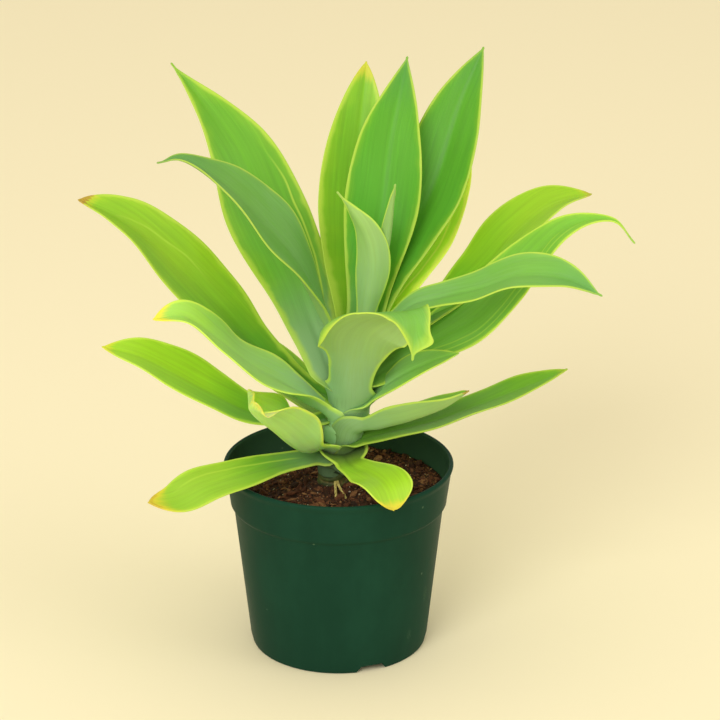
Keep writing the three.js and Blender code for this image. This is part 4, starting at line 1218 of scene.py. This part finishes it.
def strewn(pot, rng, count, draw_size, fineness, sunk):
    """Pieces strewn over the mix, clear of the stem and of the pot's wall. draw_size gives a piece's size."""
    limit = inside_radius(pot, BARK_LEVEL) - BARK_GAP
    foot = stem_centre(STEM_LEVEL)
    points, faces, tone = [], [], []
    for _ in range(count):
        r = limit * math.sqrt(rng.uniform(0.0, 1.0))
        a = rng.uniform(0, 2 * math.pi)
        x, y = r * math.cos(a), r * math.sin(a)
        room = limit + 1.0 * MM - r
        size = min(draw_size(rng), 2 * room + 0.8 * MM)
        shade = float(np.clip(rng.normal(*BARK_TONE), *TONE_RANGE))
        if rng.uniform() < PALE_GRAIN_SHARE:
            size, shade = MM * rng.uniform(0.7, 1.7), 1.0
        if math.hypot(x - foot[0], y - foot[1]) < STEM_CLEARANCE + size * 0.3:
            continue
        place = Vector((x, y, mix_height(x, y) + size * sunk))
        part, skin = bark_piece(rng, size, fineness)
        faces += [tuple(i + len(points) for i in face) for face in skin]
        points += [point + place for point in part]
        tone += [shade] * len(part)
    return points, faces, tone


# Operators, one for each piece or group of like pieces

GROUP_MAKERS = (group_blade_facts, group_parallel_veins, group_margin_band, group_bud_print_highlight,
                group_wax_bloom, group_speckle, group_grey)


class AGAVE_OT_effects(bpy.types.Operator):
    """Builds the shader groups that the materials share"""
    bl_idname = "agave.effects"
    bl_label = "Shared Effects"

    def execute(self, context):
        for maker in GROUP_MAKERS:
            maker()
        return {"FINISHED"}


class AGAVE_OT_pot(bpy.types.Operator):
    """Builds the nursery pot with its lip, collar, foot ring, notches and drain holes"""
    bl_idname = "agave.pot"
    bl_label = "Nursery Pot"

    def execute(self, context):
        settings = context.scene.agave_pot
        points, faces = turned(pot_outline(settings), POT_SIDES)
        made = mesh_object("nursery_pot", points, faces)
        cut_away(made, cutter_mesh(settings))
        made.data.set_sharp_from_angle(angle=SHARP_EDGE)
        keep(made, pot_material(settings), slot_of("pot"), "pot")
        return {"FINISHED"}


class AGAVE_OT_mix(bpy.types.Operator):
    """Builds the potting mix and the bark pieces that lie on it"""
    bl_idname = "agave.mix"
    bl_label = "Potting Mix"

    def execute(self, context):
        pot, settings = context.scene.agave_pot, context.scene.agave_mix
        points, faces, tone = mix_surface(pot)
        made = mesh_object("potting_mix_body", points, faces)
        set_values(made, "tone", tone)
        keep(made, mix_material(settings, "mix_ground"), slot_of("potting_mix"), "potting_mix")
        rng = np.random.default_rng(settings.seed)
        bark = mix_material(settings, "mix_bark")
        for name, count, draw_size, fineness, sunk in (
                ("bark_pieces", settings.chunks, piece_size, 2, 0.12),
                ("bark_crumbs", settings.crumbs, crumb_size, 1, 0.1)):
            points, faces, tone = strewn(pot, rng, count, draw_size, fineness, sunk)
            made = mesh_object(name, points, faces, smooth_faces=False)
            set_values(made, "tone", tone)
            keep(made, bark, slot_of("potting_mix"))
        return {"FINISHED"}


class AGAVE_OT_stem(bpy.types.Operator):
    """Builds the stem with its leaf scars and the two thin roots at its front"""
    bl_idname = "agave.stem"
    bl_label = "Stem and Roots"

    def execute(self, context):
        settings = context.scene.agave_stem
        points, faces, scar, root = stem_parts(settings)
        made = mesh_object("stem_trunk", points, faces)
        set_values(made, "scar", scar)
        set_values(made, "root", root)
        keep(made, stem_material(settings), slot_of("stem"), "stem")
        return {"FINISHED"}


class AGAVE_OT_leaves(bpy.types.Operator):
    """Builds every leaf of the rosette, and the rolled bud in its middle"""
    bl_idname = "agave.leaves"
    bl_label = "Leaves"

    def execute(self, context):
        settings = context.scene.agave_leaf
        for seed, entry in enumerate(LEAVES):
            leaf = {**PLAIN_LEAF, **entry}
            made = leaf_object(leaf, settings, seed)
            keep(made, leaf_material(leaf, settings, seed), slot_of(leaf["name"]), leaf["name"])
        return {"FINISHED"}


class AGAVE_OT_stage(bpy.types.Operator):
    """Lays the pale floor and sets up the soft light and the camera"""
    bl_idname = "agave.stage"
    bl_label = "Stage"

    def execute(self, context):
        settings = context.scene.agave_stage
        self.floor(settings)
        self.lights(settings)
        self.camera(settings)
        return {"FINISHED"}

    def floor(self, settings):
        reach = settings.floor_size / 2
        corners = [(-reach, -reach, 0), (reach, -reach, 0), (reach, reach, 0), (-reach, reach, 0)]
        made = mesh_object("floor", corners, [(0, 1, 2, 3)])
        surface = new_material("pale_floor")[0]
        shader = surface.node_tree.nodes["Principled BSDF"]
        shader.inputs["Base Color"].default_value = (*settings.floor_colour, 1)
        shader.inputs["Roughness"].default_value = 0.85
        made.data.materials.append(surface)

    def lights(self, settings):
        world = bpy.data.worlds.new("room")
        world.use_nodes = True
        back = world.node_tree.nodes["Background"]
        back.inputs["Color"].default_value = (*settings.sky_colour, 1)
        back.inputs["Strength"].default_value = settings.sky_strength
        bpy.context.scene.world = world
        for name, (place, size) in LAMPS.items():
            lamp = bpy.data.lights.new(name, "AREA")
            lamp.shape = "DISK"
            lamp.size = size
            lamp.energy = getattr(settings, name + "_power")
            made = bpy.data.objects.new(name, lamp)
            made.location = place
            made.rotation_euler = (Vector(LAMP_TARGET) - made.location).to_track_quat("-Z", "Y").to_euler()
            bpy.context.scene.collection.objects.link(made)

    def camera(self, settings):
        lens = bpy.data.cameras.new("camera")
        lens.sensor_width = 36
        lens.lens = settings.camera_lens
        made = bpy.data.objects.new("camera", lens)
        made.location = (settings.camera_shift, -settings.camera_distance, settings.camera_height)
        made.rotation_euler = (math.pi / 2 - settings.camera_pitch, 0, 0)
        bpy.context.scene.collection.objects.link(made)
        bpy.context.scene.camera = made
        bpy.context.scene.view_settings.view_transform = "Standard"


class AGAVE_PT_panel(bpy.types.Panel):
    """Lists the sizes and colours, and a button for each piece"""
    bl_label = "Potted Agave"
    bl_space_type = "VIEW_3D"
    bl_region_type = "UI"
    bl_category = "Agave"

    def draw(self, context):
        for operator in OPERATORS:
            self.layout.operator(operator.bl_idname)
        for name in SETTINGS:
            box = self.layout.box()
            group = getattr(context.scene, name)
            for key in group.bl_rna.properties.keys():
                if key not in ("rna_type", "name"):
                    box.prop(group, key)


OPERATORS = (AGAVE_OT_effects, AGAVE_OT_pot, AGAVE_OT_mix, AGAVE_OT_stem, AGAVE_OT_leaves, AGAVE_OT_stage)
SETTINGS = {
    "agave_leaf": AgaveLeafSettings, "agave_stem": AgaveStemSettings, "agave_pot": AgavePotSettings,
    "agave_mix": AgaveMixSettings, "agave_stage": AgaveStageSettings,
}


def register():
    for kind in (*SETTINGS.values(), *OPERATORS, AGAVE_PT_panel):
        bpy.utils.register_class(kind)
    for name, kind in SETTINGS.items():
        setattr(bpy.types.Scene, name, PointerProperty(type=kind))


def unregister():
    for name in SETTINGS:
        delattr(bpy.types.Scene, name)
    for kind in (AGAVE_PT_panel, *reversed(OPERATORS), *reversed(SETTINGS.values())):
        bpy.utils.unregister_class(kind)


def main():
    register()
    bpy.ops.agave.effects()
    bpy.ops.agave.pot()
    bpy.ops.agave.mix()
    bpy.ops.agave.stem()
    bpy.ops.agave.leaves()
    bpy.ops.agave.stage()


if __name__ == "__main__":
    main()
